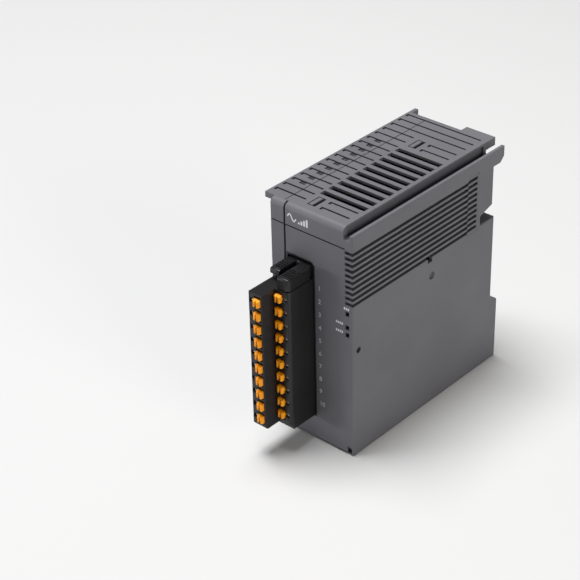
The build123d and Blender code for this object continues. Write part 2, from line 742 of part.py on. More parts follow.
def left_cover():
    """The smaller shell: left side, its share of the front, and the tongue."""
    shell = slab(OUTLINE, LEFT, SEAM_X)
    rim = shell.faces().sort_by(Axis.X)[0].edges()
    shell = chamfer(rim, EDGE_BREAK)
    flange = slab(OUTLINE, SEAM_X, SEAM_FRONT_X) & block(
        (SEAM_X, SEAM_FRONT_X), (FRONT - OVER, FRONT + WALL), (-OVER, HEIGHT + OVER)
    )
    plate = block(
        (TONGUE_X, LEFT + OVER),
        (FRONT + TONGUE_START, BACK + TOP_OVERHANG),
        (HEIGHT - TONGUE_THICKNESS, HEIGHT),
    )
    overhang = block(
        (LEFT, SEAM_X), (BACK - OVER, BACK + TOP_OVERHANG), (HEIGHT - TOP_TAB_THICKNESS, HEIGHT)
    )
    hook = block(
        (TONGUE_X + TONGUE_HOOK_INSET, TONGUE_X + TONGUE_HOOK_INSET + TONGUE_HOOK_WIDTH),
        (FRONT + TONGUE_HOOK_START, BACK + TOP_OVERHANG),
        (HEIGHT - TONGUE_HOOK_DROP, HEIGHT),
    )
    end_tab = block(
        (TONGUE_X, TONGUE_X + TONGUE_END_WIDTH),
        (BACK + TOP_OVERHANG, BACK + TONGUE_END),
        (HEIGHT - TONGUE_HOOK_DROP, HEIGHT),
    )
    shell = join(shell, flange, plate, hook, overhang, end_tab)
    cuts = [
        cavity(),
        band_groove(),
        header_opening(),
        block(
            (LEFT - OVER, LEFT + LEFT_WALL + OVER),
            (SOCKET_Y, PIN_BACK_Y + PIN_WINDOW_GAP),
            (BUS_LOW_Z - SOCKET_MARGIN, BUS_TOP_Z + SOCKET_MARGIN),
        ),
        shell_hole(LEFT, LEFT_HOLE_Z),
    ]
    cuts += seam_groove() + vent_lines()
    cuts += vent_openings((HEIGHT - WALL - OVER, HEIGHT + OVER), (HEIGHT - VENT_HOLE_DEPTH, HEIGHT + OVER))
    cuts += vent_openings((-OVER, WALL + OVER), (-OVER, VENT_HOLE_DEPTH))
    return shell - cuts


def pin_spans():
    """The Z range of each bus pin, from the bottom."""
    return [
        (bus_z(index) + PIN_LIFT - PIN_THICKNESS / 2, bus_z(index) + PIN_LIFT + PIN_THICKNESS / 2)
        for index in range(BUS_COUNT)
    ]


def contact_spans():
    """The Z range of each socket contact, from the bottom."""
    half = CONTACT_THICKNESS / 2
    return [
        (bus_z(index) + CONTACT_LIFT - half, bus_z(index) + CONTACT_LIFT + half)
        for index in range(BUS_COUNT)
    ]


def pin_carrier():
    """The black block behind the left wall that holds the bus pins."""
    margin = SOCKET_MARGIN + CARRIER_MARGIN
    body = block(
        (LEFT + LEFT_WALL, LEFT + LEFT_WALL + CARRIER_THICKNESS),
        (SOCKET_Y - CARRIER_MARGIN, NOTCH_Y - WALL),
        (BUS_LOW_Z - margin, BUS_TOP_Z + margin),
    )
    slots = [block((LEFT, IO_X0), (PIN_BACK_Y - PIN_LENGTH, PIN_BACK_Y), span) for span in pin_spans()]
    return body - slots


def bus_pins():
    """Ten gilt blades that reach into the next module's grooves."""
    inner = LEFT + LEFT_WALL + CARRIER_THICKNESS
    pins = []
    for span in pin_spans():
        blade = block((LEFT - PIN_REACH, inner), (PIN_BACK_Y - PIN_LENGTH, PIN_BACK_Y), span)
        blade = chamfer(blade.edges().filter_by(Axis.Z).group_by(Axis.X)[0], PIN_CHAMFER)
        tail = block((inner - OVER, IO_X1 + SOLDER_TAIL), (PIN_TAIL_Y, PIN_TAIL_Y + PIN_TAIL), span)
        pins.append(join(blade, tail))
    return join(*pins)


def bus_socket():
    """The insert in the right wall that the next module's pins end in."""
    half = GROOVE_WIDTH / 2
    slots = [
        block(
            (RIGHT - GROOVE_DEPTH, RIGHT + OVER),
            (SOCKET_Y - OVER, SLOT_END_Y),
            (bus_z(index) - half + SOCKET_SHIFT, bus_z(index) + half + SOCKET_SHIFT),
        )
        for index in range(BUS_COUNT)
    ]
    tails = [
        block(
            (RIGHT - SOCKET_DEPTH - OVER, RIGHT - GROOVE_DEPTH),
            (CONTACT_TAIL_Y, CONTACT_TAIL_Y + PIN_TAIL),
            span,
        )
        for span in contact_spans()
    ]
    return socket_room(0) - (slots + tails)


def socket_contacts():
    """Ten gilt leaves, each with a tail that is soldered into the bus board."""
    leaf_x = (RIGHT - GROOVE_DEPTH, RIGHT - CONTACT_SET_BACK)
    leaf_y = (SOCKET_Y + CONTACT_LEAD, SLOT_END_Y - CONTACT_END_GAP)
    contacts = []
    for span in contact_spans():
        leaf = block(leaf_x, leaf_y, span)
        tail = block(
            (BUS_X0 - SOLDER_TAIL, leaf_x[0] + CONTACT_THICKNESS),
            (CONTACT_TAIL_Y, CONTACT_TAIL_Y + PIN_TAIL),
            span,
        )
        contacts.append(join(leaf, tail))
    return join(*contacts)


def terminal_header():
    """The black frame in the front wall that the plug pushes into."""
    body = header_frame(0, FRONT, FRONT + HEADER_DEPTH)
    flange_y = FRONT + WALL + HEADER_FLANGE_GAP
    flange = block(
        (HEADER_X0, HEADER_X1 + HEADER_FLANGE),
        (flange_y, flange_y + HEADER_FLANGE_THICKNESS),
        (HEADER_Z0 - HEADER_FLANGE, HEADER_Z1 + HEADER_FLANGE),
    )
    room_x = (HEADER_X0 + HEADER_WALL, HEADER_X1 - HEADER_WALL)
    plug_room = block(
        room_x,
        (FRONT - OVER, FRONT + HEADER_DEPTH - HEADER_FLOOR),
        (PLUG_Z0 + HEADER_SILL, PLUG_Z1 + PLUG_ROOM_HEAD),
    )
    lever_room = block(
        room_x,
        (FRONT - OVER, PIVOT_Y + LEVER_BOSS_RADIUS + LEVER_ROOM_BACK),
        (LEVER_Z0 - LEVER_ROOM_FLOOR, HEADER_Z1 - HEADER_ROOF),
    )
    room_corner = lever_room.edges().filter_by(Axis.Y).group_by(Axis.Z)[-1].sort_by(Axis.X)[-1]
    lever_room = chamfer(room_corner, LEVER_ROOM_CORNER)
    half = HEADER_PIN / 2
    holes = [
        block((x - half, x + half), (FRONT, FRONT + HEADER_DEPTH + OVER), (z - half, z + half))
        for x, z in header_pin_places()
    ]
    return join(body, flange) - ([plug_room, lever_room, lever_pin()] + holes)


def header_pin_places():
    """X and Z of all twenty pins, tier by tier."""
    columns = (
        (PLUG_X0 + PLUG_MID_X) / 2 + HEADER_PIN_SHIFT,
        (PLUG_MID_X + PLUG_X1) / 2 - HEADER_PIN_SHIFT,
    )
    return [(x, pole_z(index)) for x in columns for index in range(POLES)]


def header_tail_y(order):
    """Y of a header pin's bent tail, two rows behind the header."""
    return FRONT + HEADER_DEPTH + (HEADER_TAIL_NEAR if order < POLES else HEADER_TAIL_FAR)


def header_pins():
    """Twenty square pins, bent behind the header into the terminal board."""
    half = HEADER_PIN / 2
    pins = []
    for order, (x, z) in enumerate(header_pin_places()):
        tail_y = header_tail_y(order)
        span = (z - half, z + half)
        shaft = block((x - half, x + half), (FRONT + HEADER_PIN_TIP, tail_y + half), span)
        tail = block((IO_X0 - SOLDER_TAIL, x + half), (tail_y - half, tail_y + half), span)
        pins.append(join(shaft, tail))
    return join(*pins)


def lever_pin():
    """The steel pin that the lever turns on, held in the header's side walls."""
    length = HEADER_X1 - HEADER_X0 - HEADER_WALL
    middle = (HEADER_X0 + HEADER_X1) / 2
    return Pos(middle, PIVOT_Y, PIVOT_Z) * Rotation(0, 90, 0) * Cylinder(LEVER_PIN_RADIUS, length)


def lever_ear(x, z, reach, corner):
    """One finger grip of the lever, ribbed on top, with one rounded corner or none."""
    tip = FRONT - reach
    low, high = x
    ear = block(x, (tip, FRONT - LEVER_WIDE_END), (z[0], z[1] - LEVER_RIB_HEIGHT))
    if corner > 0:
        ear = fillet(ear.edges().filter_by(Axis.Z).group_by(Axis.Y)[0].sort_by(Axis.X)[-1], corner)
    ribs = []
    for rib in range(LEVER_RIBS):
        y = tip + LEVER_CROWN + LEVER_RIB_PITCH * rib
        ribs.append(block((low + LEVER_RIB, high), (y, y + LEVER_RIB), (z[1] - 2 * LEVER_RIB_HEIGHT, z[1])))
    grip = join(ear, *ribs)
    nose = block(x, (tip - OVER, tip + LEVER_CROWN), (z[1] - LEVER_CROWN - LEVER_RIB_HEIGHT, z[1] + OVER))
    round_x = Pos((low + high) / 2, tip + LEVER_CROWN, z[1] - LEVER_CROWN - LEVER_RIB_HEIGHT)
    return grip - (nose - round_x * Rotation(0, 90, 0) * Cylinder(LEVER_CROWN, high - low + OVER))


def release_lever():
    """Two ribbed finger grips joined by a low bridge, hinged in the header."""
    x0 = HEADER_X0 + HEADER_WALL + LEVER_SIDE_GAP
    x1 = HEADER_X1 - HEADER_WALL - LEVER_SIDE_GAP
    middle = (x0 + x1) / 2
    left_ear_end = PLUG_X0 + LEVER_CHANNEL_X - LEVER_CHANNEL / 2
    right_ear_start = PLUG_X0 + LEVER_CHANNEL_X + LEVER_CHANNEL / 2
    bore = Pos(middle, PIVOT_Y, PIVOT_Z) * Rotation(0, 90, 0)
    boss = bore * Cylinder(LEVER_BOSS_RADIUS, x1 - x0)
    bridge = block(
        (x0, x1),
        (FRONT - LEVER_LEFT_REACH + LEVER_BRIDGE_SHORT, PIVOT_Y),
        (LEVER_Z0, LEVER_Z0 + LEVER_BASE),
    )
    neck_z = (LEVER_Z0 + LEVER_NECK_LOW, PIVOT_Z + LEVER_BOSS_RADIUS - LEVER_NECK_DROP)
    necks = [
        block(span, (FRONT - LEVER_WIDE_END - OVER, PIVOT_Y), neck_z)
        for span in ((x0, left_ear_end), (right_ear_start, x1))
    ]
    lever = join(
        boss,
        bridge,
        *necks,
        lever_ear(
            (x0, left_ear_end),
            (LEVER_Z0 + LEVER_LEFT_GAP, LEVER_Z1 - LEVER_LEFT_LOWER),
            LEVER_LEFT_REACH,
            0,
        ),
        lever_ear((right_ear_start, PLUG_X1), (LEVER_Z0, LEVER_Z1), LEVER_RIGHT_REACH, PLUG_CORNER),
    )
    return lever - bore * Cylinder(LEVER_PIN_RADIUS + LEVER_PIN_FIT, x1 - x0 + OVER)


def plug_cuts():
    """Button pockets, wire entries and contact chambers of all poles."""
    cuts = []
    half_x = BUTTON_WIDTH / 2 + BUTTON_FIT
    half_z = BUTTON_HEIGHT / 2 + BUTTON_FIT
    hole = HEADER_PIN / 2 + PIN_HOLE_FIT
    chamber_back = FRONT + TONGUE_DEPTH - CHAMBER_END_WALL
    for order, (pin_x, z) in enumerate(header_pin_places()):
        tier = TIERS["high" if order < POLES else "low"]
        front = tier["front"]
        pocket_back = front + BUTTON_DEPTH + BUTTON_TRAVEL + BUTTON_END_GAP
        button = tier["button"]
        cuts.append(
            block((button - half_x, button + half_x), (front - OVER, pocket_back), (z - half_z, z + half_z))
        )
        mouth_z = (z - BUTTON_MOUTH_HEIGHT / 2, z + BUTTON_MOUTH_HEIGHT / 2)
        cuts.append(
            block((button - half_x, button + half_x), (front - OVER, front + BUTTON_MOUTH_DEPTH), mouth_z)
        )
        entry = Pos(tier["entry"], front, z) * Rotation(-90, 0, 0)
        cuts.append(entry * Pos(0, 0, ENTRY_DEPTH / 2) * Cylinder(ENTRY_RADIUS, ENTRY_DEPTH))
        cuts.append(entry * Pos(0, 0, ENTRY_FUNNEL / 2) * Cone(ENTRY_MOUTH, ENTRY_RADIUS, ENTRY_FUNNEL))
        chamber_x = (pin_x - CHAMBER_WIDTH / 2, pin_x + CHAMBER_WIDTH / 2)
        chamber_z = (z - CHAMBER_HEIGHT / 2, z + CHAMBER_HEIGHT / 2)
        cuts.append(block(chamber_x, (pocket_back - CHAMBER_LAP, chamber_back), chamber_z))
        through = (chamber_back - OVER, FRONT + HEADER_DEPTH)
        cuts.append(block((pin_x - hole, pin_x + hole), through, (z - hole, z + hole)))
    return cuts


def terminal_plug():
    """The two-tier plug body with ten poles in each tier."""
    back = FRONT - PLUG_GAP
    above_foot = (PLUG_Z0 + PLUG_FOOT_HEIGHT, PLUG_Z1)
    high = block((PLUG_X0, PLUG_MID_X), (HIGH_Y, back), above_foot)
    high = chamfer(high.edges().filter_by(Axis.Z).group_by(Axis.Y)[0], HIGH_EDGE)
    high = fillet(high.edges().filter_by(Axis.X).group_by(Axis.Z)[0].sort_by(Axis.Y)[0], PLUG_CORNER)
    low = block((PLUG_MID_X, PLUG_X1), (LOW_Y, back), above_foot)
    corner = low.edges().filter_by(Axis.Z).group_by(Axis.Y)[0].sort_by(Axis.X)[-1]
    chin = low.edges().filter_by(Axis.X).group_by(Axis.Z)[0].sort_by(Axis.Y)[0]
    low = fillet([corner, chin], PLUG_CORNER)
    foot = block(
        (PLUG_X0, PLUG_X1), (LOW_Y + PLUG_FOOT_SET_BACK, back), (PLUG_Z0, above_foot[0] + OVER)
    )
    tongue = block(
        (HEADER_X0 + HEADER_WALL + HEADER_FIT, HEADER_X1 - HEADER_WALL - HEADER_FIT),
        (back - OVER, FRONT + TONGUE_DEPTH),
        (PLUG_Z0 + TONGUE_LOW, PLUG_Z1 - TONGUE_HIGH),
    )
    body = join(high, low, foot, tongue)
    marks = [
        block(
            (PLUG_X0 - OVER, PLUG_X0 + DIMPLE_DEPTH),
            (HIGH_Y + DIMPLE_FROM_TIP, HIGH_Y + DIMPLE_FROM_TIP + DIMPLE),
            (pole_z(index) - DIMPLE / 2, pole_z(index) + DIMPLE / 2),
        )
        for index in range(POLES)
    ]
    return body - (plug_cuts() + marks)


def wire_clamps():
    """Twenty sheet-metal contacts that grip the header pins."""
    clamps = []
    half_gap = CLAMP_GAP / 2
    back = FRONT + TONGUE_DEPTH - CHAMBER_END_WALL - CLAMP_BACK_GAP
    behind_button = BUTTON_DEPTH + BUTTON_TRAVEL + BUTTON_END_GAP + CLAMP_FRONT_GAP
    for order, (x, z) in enumerate(header_pin_places()):
        front = TIERS["high" if order < POLES else "low"]["front"] + behind_button
        span = (z - CLAMP_HEIGHT / 2, z + CLAMP_HEIGHT / 2)
        near = block((x - half_gap - CLAMP_SHEET, x - half_gap), (front, back), span)
        far = block((x + half_gap, x + half_gap + CLAMP_SHEET), (front, back), span)
        web = block((x - half_gap, x + half_gap), (front, front + CLAMP_SHEET), span)
        clamps.append(join(near, web, far))
    return join(*clamps)


def push_button(tier, index):
    """One release button: a two-lobed head with a driver notch below."""
    x = tier["button"]
    z = pole_z(index)
    front = tier["front"] - BUTTON_PROUD
    crown = front + BUTTON_CROWN
    half = BUTTON_WIDTH / 2
    head = [
        ThreePointArc((x - half, crown), (x - half / 2, front), (x, front + BUTTON_GROOVE)),
        ThreePointArc((x, front + BUTTON_GROOVE), (x + half / 2, front), (x + half, crown)),
        Polyline(
            (x + half, crown),
            (x + half, tier["front"] + BUTTON_DEPTH),
            (x - half, tier["front"] + BUTTON_DEPTH),
            (x - half, crown),
        ),
    ]
    edges = [edge for line in head for edge in line.edges()]
    outline = Plane.XY.offset(z - BUTTON_HEIGHT / 2) * make_face(edges)
    body = extrude(outline, amount=BUTTON_HEIGHT)
    notch = block(
        (x - BUTTON_NOTCH / 2, x + BUTTON_NOTCH / 2),
        (front - OVER, front + BUTTON_NOTCH_DEPTH),
        (z - BUTTON_HEIGHT / 2 - OVER, z - BUTTON_HEIGHT / 2 + BUTTON_NOTCH),
    )
    top = z + BUTTON_HEIGHT / 2
    slope = make_face(
        Polyline(
            (front - OVER, top - BUTTON_SLOPE_START),
            (front - OVER, top + OVER),
            (crown + BUTTON_SLOPE_TOP, top + OVER),
            (crown + BUTTON_SLOPE_TOP, top),
            (front, top - BUTTON_SLOPE_TOP),
            close=True,
        )
    )
    return body - [notch, slab(slope, x - half - OVER, x + half + OVER)]


def light_guide():
    """Three clear stems in the front windows, joined by a bar behind them."""
    half_x = LED_WIDTH / 2 - LENS_FIT
    half_z = LED_HEIGHT / 2 - LENS_FIT
    width = (LED_X - half_x, LED_X + half_x)
    stems = [
        block(width, (FRONT + LENS_RECESS, FRONT + GUIDE_DEPTH), (z - half_z, z + half_z))
        for z in LED_HEIGHTS
    ]
    bar_y = FRONT + WALL + GUIDE_BAR_GAP
    bar = block(width, (bar_y, bar_y + GUIDE_BAR), (min(LED_HEIGHTS) - half_z, max(LED_HEIGHTS) + half_z))
    return join(bar, *stems)


def leds():
    """Three indicator chips on the bus board, behind the guide's stems."""
    near = BOARD_Y0 + LED_CHIP_FROM_BOARD_END
    half = LED_CHIP_HEIGHT / 2
    return join(
        *[
            block((BUS_X1, LED_X + LED_CHIP_OVER), (near, near + LED_CHIP_THICKNESS), (z - half, z + half))
            for z in LED_HEIGHTS
        ]
    )


def io_board():
    """The board that carries the terminals' side of the circuit."""
    half = HEADER_PIN / 2
    through = (IO_X0 - OVER, IO_X1 + OVER)
    holes = [block(through, (PIN_TAIL_Y, PIN_TAIL_Y + PIN_TAIL), span) for span in pin_spans()]
    for order, (_, z) in enumerate(header_pin_places()):
        y = header_tail_y(order)
        holes.append(block(through, (y - half, y + half), (z - half, z + half)))
    return block((IO_X0, IO_X1), (BOARD_Y0, BOARD_Y1), (BOARD_LOW, BOARD_Z1)) - holes


def bus_board():
    """The board that carries the bus side of the circuit."""
    holes = [
        block((BUS_X0 - OVER, BUS_X1 + OVER), (CONTACT_TAIL_Y, CONTACT_TAIL_Y + PIN_TAIL), span)
        for span in contact_spans()
    ]
    return block((BUS_X0, BUS_X1), (BOARD_Y0, BOARD_Y1), (BOARD_LOW, BOARD_Z1)) - holes


def on_terminal_board(size, from_front, z, stand=0.0):
    """A block that stands on the terminal board."""
    thickness, length, height = size
    y = FRONT + from_front
    return block((IO_X1 + stand, IO_X1 + stand + thickness), (y, y + length), (z, z + height))


def on_bus_board(size, from_front, z):
    """A block that stands on the inner side of the bus board."""
    thickness, length, height = size
    y = FRONT + from_front
    return block((BUS_X0 - thickness, BUS_X0), (y, y + length), (z, z + height))


def link_limits(inset):
    """Y and Z limits of the board-to-board connector, drawn in by an inset."""
    y = FRONT + LINK_FROM_FRONT
    z = HEIGHT - LINK_FROM_TOP
    return (y + inset, y + LINK_LENGTH - inset), (z - LINK_HEIGHT + inset, z - inset)


def link_socket():
    """The board-to-board connector's half on the terminal board."""
    body = block((IO_X1, IO_X1 + LINK_SOCKET), *link_limits(0))
    return body - block((IO_X1 + LINK_FLOOR, IO_X1 + LINK_SOCKET + OVER), *link_limits(LINK_WALL))


def link_plug():
    """The board-to-board connector's half on the bus board."""
    base = block((IO_X1 + LINK_SOCKET + LINK_GAP, BUS_X0), *link_limits(0))
    blade_x = (IO_X1 + LINK_FLOOR + LINK_TIP_GAP, IO_X1 + LINK_SOCKET + LINK_GAP + OVER)
    return join(base, block(blade_x, *link_limits(LINK_WALL + LINK_FIT)))


def converter_chips():
    """Four converter chips in a row on the terminal board."""
    return join(*[on_terminal_board(CHIP, CHIP_FROM_FRONT, z) for z in CHIP_HEIGHTS])


def isolators():
    """Four signal isolators on the terminal board."""
    return join(*[on_terminal_board(ISOLATOR, ISOLATOR_FROM_FRONT, z) for z in CHIP_HEIGHTS])


def transformer():
    """The isolating transformer: a window core with its winding."""
    core = on_terminal_board(CORE, CORE_FROM_FRONT, CORE_Z, CORE_STAND)
    inner = (CORE[1] - 2 * CORE_LIMB, CORE[2] - 2 * CORE_LIMB)
    at = (CORE_FROM_FRONT + CORE_LIMB, CORE_Z + CORE_LIMB)
    window = on_terminal_board((CORE[0] + 2 * CORE_STAND, *inner), *at)
    winding = on_terminal_board((CORE[0] + CORE_STAND + WINDING_PROUD, *inner), *at)
    return join(core - window, winding)


def capacitors():
    """Three electrolytic cans lying on the terminal board."""
    cans = []
    middle = FRONT + CAN_FROM_FRONT + CAN_LENGTH / 2
    for z in CAN_HEIGHTS:
        lying = Pos(IO_X1 + CAN_FOOT[0] / 2 + CAN_RADIUS, middle, z) * Rotation(90, 0, 0)
        cans.append(lying * Cylinder(CAN_RADIUS, CAN_LENGTH))
        foot_start = CAN_FROM_FRONT + (CAN_LENGTH - CAN_FOOT[1]) / 2
        cans.append(on_terminal_board(CAN_FOOT, foot_start, z - CAN_FOOT[2] / 2))
    return join(*cans)


def processor():
    """The controller chip on the bus board."""
    return on_bus_board(PROCESSOR, PROCESSOR_FROM_FRONT, PROCESSOR_Z)


def supply_inductor():
    """The shielded choke of the supply, on the bus board."""
    return on_bus_board(INDUCTOR, INDUCTOR_FROM_FRONT, INDUCTOR_Z)


def rail_clip():
    """The sliding foot with its hook, pull eye and moulded spring leg."""
    flange_back = STEP_Y - CLIP_LIP - CLIP_FIT
    flange_front = flange_back - CLIP_FLANGE_THICKNESS
    flange_top = STEP_TOP - STEP_SLOPE - CLIP_TOP_GAP
    hook_y = SEAT_Y + RAIL_FLANGE + RAIL_SLOT_GAP
    flange = block((-CLIP_FLANGE / 2, CLIP_FLANGE / 2), (flange_front, flange_back), (CLIP_FOOT, flange_top))
    neck_x = (-CLIP_NECK / 2, CLIP_NECK / 2)
    neck = block(neck_x, (flange_back - OVER, STEP_Y - CLIP_BACK), (CLIP_FOOT, flange_top))
    hook = block(neck_x, (hook_y, STEP_Y - CLIP_BACK), (flange_top - OVER, RAIL_LOW + CLIP_HOOK_OVER))
    nose = hook.edges().filter_by(Axis.X).group_by(Axis.Z)[-1].sort_by(Axis.Y)[-1]
    hook = chamfer(nose, CLIP_NOSE)
    eye = block((-EYE_WIDTH / 2, EYE_WIDTH / 2), (flange_front - OVER, STEP_Y), (EYE_Z, EYE_Z + EYE_HEIGHT))
    slots = [
        block(
            (x - SPRING_SLOT / 2, x + SPRING_SLOT / 2),
            (flange_front - OVER, STEP_Y),
            (low, low + SPRING_SLOT_LENGTH),
        )
        for x, low in SPRING_SLOTS
    ]
    return join(flange, neck, hook) - ([eye] + slots)


def earth_spring():
    """The bowed earth contact on the rail seat."""
    x1 = RIGHT - EARTH_FROM_RIGHT
    low = RAIL_LOW + EARTH_OVER_RAIL_LOW
    high = NOTCH_LOW - EARTH_UNDER_NOTCH
    middle = (low + high) / 2
    inner = [
        (SEAT_Y, low),
        (SEAT_Y + EARTH_BOW, middle - EARTH_FLAT),
        (SEAT_Y + EARTH_BOW, middle + EARTH_FLAT),
        (SEAT_Y, high),
        (SEAT_Y, high + EARTH_TAB),
    ]
    outer = [(y + EARTH_SHEET, z) for y, z in reversed(inner)]
    return slab(make_face(Polyline(*inner, *outer, close=True)), x1 - EARTH_WIDTH, x1)


def earth_screw():
    """The pan-head screw that holds the earth contact."""
    x = RIGHT - EARTH_FROM_RIGHT - EARTH_WIDTH / 2
    z = NOTCH_LOW - EARTH_UNDER_NOTCH + EARTH_TAB / 2
    seat = SEAT_Y + EARTH_SHEET
    head = Pos(x, seat + SCREW_HEAD / 2, z) * Rotation(90, 0, 0) * Cylinder(SCREW_RADIUS, SCREW_HEAD)
    slot = block(
        (x - SCREW_RADIUS - OVER, x + SCREW_RADIUS + OVER),
        (seat + SCREW_HEAD - SCREW_SLOT_DEPTH, seat + SCREW_HEAD + OVER),
        (z - SCREW_SLOT / 2, z + SCREW_SLOT / 2),
    )
    return head - slot


def sticker(from_front, z, upper, cut):
    """A sticker on the left side with one corner cut, at the top or the bottom."""
    y = (FRONT + from_front[0], FRONT + from_front[1])
    label = block((LEFT - LABEL_THICKNESS, LEFT), y, z)
    ends = label.edges().filter_by(Axis.X).group_by(Axis.Y)[-1 if upper else 0]
    return chamfer(ends.sort_by(Axis.Z)[-1 if upper else 0], cut)


def rating_label():
    """The large grey sticker, with its upper rear corner cut."""
    return sticker(RATING_FROM_FRONT, (RATING_Z, HEIGHT - RATING_FROM_TOP), True, RATING_CUT)


def code_label():
    """The small white sticker behind the large one, with its lower front corner cut."""
    return sticker(CODE_FROM_FRONT, CODE_Z, False, CODE_CUT)


SUBPARTS = {
    "main_case": main_case,
    "left_cover": left_cover,
    "bus_pin_carrier": pin_carrier,
    "bus_pins": bus_pins,
    "bus_socket": bus_socket,
    "bus_socket_contacts": socket_contacts,
    "terminal_header": terminal_header,
    "header_pins": header_pins,
    "lever_pin": lever_pin,
    "release_lever": release_lever,
    "terminal_plug": terminal_plug,
    "wire_clamps": wire_clamps,
    "light_guide": light_guide,
    "indicator_leds": leds,
    "terminal_board": io_board,
    "bus_board": bus_board,
    "board_link_socket": link_socket,
    "board_link_plug": link_plug,
    "converter_chips": converter_chips,
    "signal_isolators": isolators,
    "isolating_transformer": transformer,
    "capacitors": capacitors,
    "processor_chip": processor,
    "supply_inductor": supply_inductor,
    "rail_clip": rail_clip,
    "earth_spring": earth_spring,
    "earth_screw": earth_screw,
    "rating_label": rating_label,
    "code_label": code_label,
}

os.makedirs("parts", exist_ok=True)
for name, build in SUBPARTS.items():
    export_step(build(), "parts/" + name + ".step")
number = 0
for side, tier in TIERS.items():
    for pole in range(POLES):
        number += 1
        export_step(push_button(tier, pole), f"parts/push_button_{number:02d}.step")
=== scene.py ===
# %% [markdown]
# # A rail-mounted input and output module
# The module is a slim grey box of moulded plastic with a black terminal plug and
# twenty orange buttons. Its shapes come from a CAD model, which is loaded here as a
# fixed frame. The cells below give each piece its finish, round the edges that the
# mould rounds, add the print and the fine metal, and light the whole as for a
# product catalogue.

# %% Load the frame
import math
import random

import bmesh
import bpy
from mathutils import Matrix, Vector


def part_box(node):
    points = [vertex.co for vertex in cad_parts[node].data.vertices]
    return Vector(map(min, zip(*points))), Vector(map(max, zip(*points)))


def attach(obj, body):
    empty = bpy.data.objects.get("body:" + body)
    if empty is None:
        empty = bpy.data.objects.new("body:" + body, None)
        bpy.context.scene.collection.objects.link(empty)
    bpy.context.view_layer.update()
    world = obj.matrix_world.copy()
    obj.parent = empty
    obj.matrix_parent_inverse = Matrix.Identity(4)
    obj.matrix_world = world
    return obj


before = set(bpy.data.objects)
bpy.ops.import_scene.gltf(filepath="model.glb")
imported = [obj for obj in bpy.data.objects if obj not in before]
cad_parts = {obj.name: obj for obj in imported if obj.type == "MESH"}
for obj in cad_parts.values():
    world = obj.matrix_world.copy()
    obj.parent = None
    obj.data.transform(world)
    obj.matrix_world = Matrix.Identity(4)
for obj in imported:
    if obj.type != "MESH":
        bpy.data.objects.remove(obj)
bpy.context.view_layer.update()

# %% [markdown]
# ## Lengths and places
# Blender works in metres here, so a millimetre gets a name. Every place below is
# read from the boxes of the CAD nodes, so the print and the metal stay where they
# belong when a size changes.

# %% Lengths and places
MM = 0.001
case_low, case_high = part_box("main_case")
plug_low, plug_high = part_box("terminal_plug")
header_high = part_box("terminal_header")[1]
guide_low, guide_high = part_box("light_guide")
rating_low, rating_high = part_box("rating_label")
code_low, code_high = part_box("code_label")
FRONT = case_low.y
RIGHT = case_high.x
TOP = case_high.z
LEFT = rating_high.x
buttons = sorted(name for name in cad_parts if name.startswith("push_button"))
POLES = len(buttons) // 2
print("front face at y", round(FRONT, 4), "and right side at x", round(RIGHT, 4))

# %% [markdown]
# ## Camera
# The view is a long-lens, three-quarter view from above and to the right, as in a
# product catalogue. A long lens keeps the upright edges nearly parallel. The three
# angles of a camera could be typed in, but they are hard to read. Here the camera
# looks at a point near the plug, from a direction given by an azimuth and an
# elevation, and it is tilted by a degree and a half.

# %% Camera
AZIMUTH = math.radians(42.55)
ELEVATION = math.radians(32.03)
ROLL = math.radians(-1.49)
DISTANCE = 600 * MM
AIM = Vector((-24.4, -21.3, 42.0)) * MM
LENS = 108.1
SENSOR_WIDTH = 36.0
NEAREST = 10 * MM

to_camera = Vector((
    math.sin(AZIMUTH) * math.cos(ELEVATION),
    -math.cos(AZIMUTH) * math.cos(ELEVATION),
    math.sin(ELEVATION),
))
camera_data = bpy.data.cameras.new("camera")
camera_data.lens = LENS
camera_data.sensor_width = SENSOR_WIDTH
camera_data.clip_start = NEAREST
camera = bpy.data.objects.new("camera", camera_data)
bpy.context.scene.collection.objects.link(camera)
stand = Matrix.Translation(AIM + to_camera * DISTANCE)
turn = (-to_camera).to_track_quat("-Z", "Y").to_matrix().to_4x4()
camera.matrix_world = stand @ turn @ Matrix.Rotation(ROLL, 4, "Z")
bpy.context.scene.camera = camera
print("camera at", [round(v, 4) for v in camera.matrix_world.translation])

# %% [markdown]
# ## Small helpers
# Colours are written as the hex values a paint shop would quote, and one function
# turns them into the linear numbers that the shader wants. Another adds a node with
# its settings and links, so that each material reads as a short list. A third makes
# a bare material to start from, and a last one gives a material to the CAD nodes
# that keep their own shape.


# %% Helpers for colours and nodes
def linear(hex_code):
    """An sRGB hex colour as linear RGBA."""
    channels = [int(hex_code[i:i + 2], 16) / 255 for i in (1, 3, 5)]
    return [c / 12.92 if c <= 0.04045 else ((c + 0.055) / 1.055) ** 2.4 for c in channels] + [1.0]


def add(tree, kind, settings=None, values=None, links=None):
    """A node of a kind, with its properties, socket values and incoming links."""
    node = tree.nodes.new(kind)
    for key, value in (settings or {}).items():
        setattr(node, key, value)
    for key, value in (values or {}).items():
        node.inputs[key].default_value = value
    for key, source in (links or {}).items():
        tree.links.new(source, node.inputs[key])
    return node


def new_material(name, **sockets):
    """A material with a bare Principled shader, and the shader itself."""
    material = bpy.data.materials.new(name)
    material.use_nodes = True
    tree = material.node_tree
    shader = tree.nodes["Principled BSDF"]
    for key, value in sockets.items():
        shader.inputs[key.replace("_", " ")].default_value = value
    return material, tree, shader


def finish_with(material, *nodes):
    """Gives CAD nodes this material in place of the plain one."""
    for node in nodes:
        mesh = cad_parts[node].data
        mesh.materials.clear()
        mesh.materials.append(material)
    print(material.name, "on", ", ".join(nodes[:4]), "..." if len(nodes) > 4 else "")


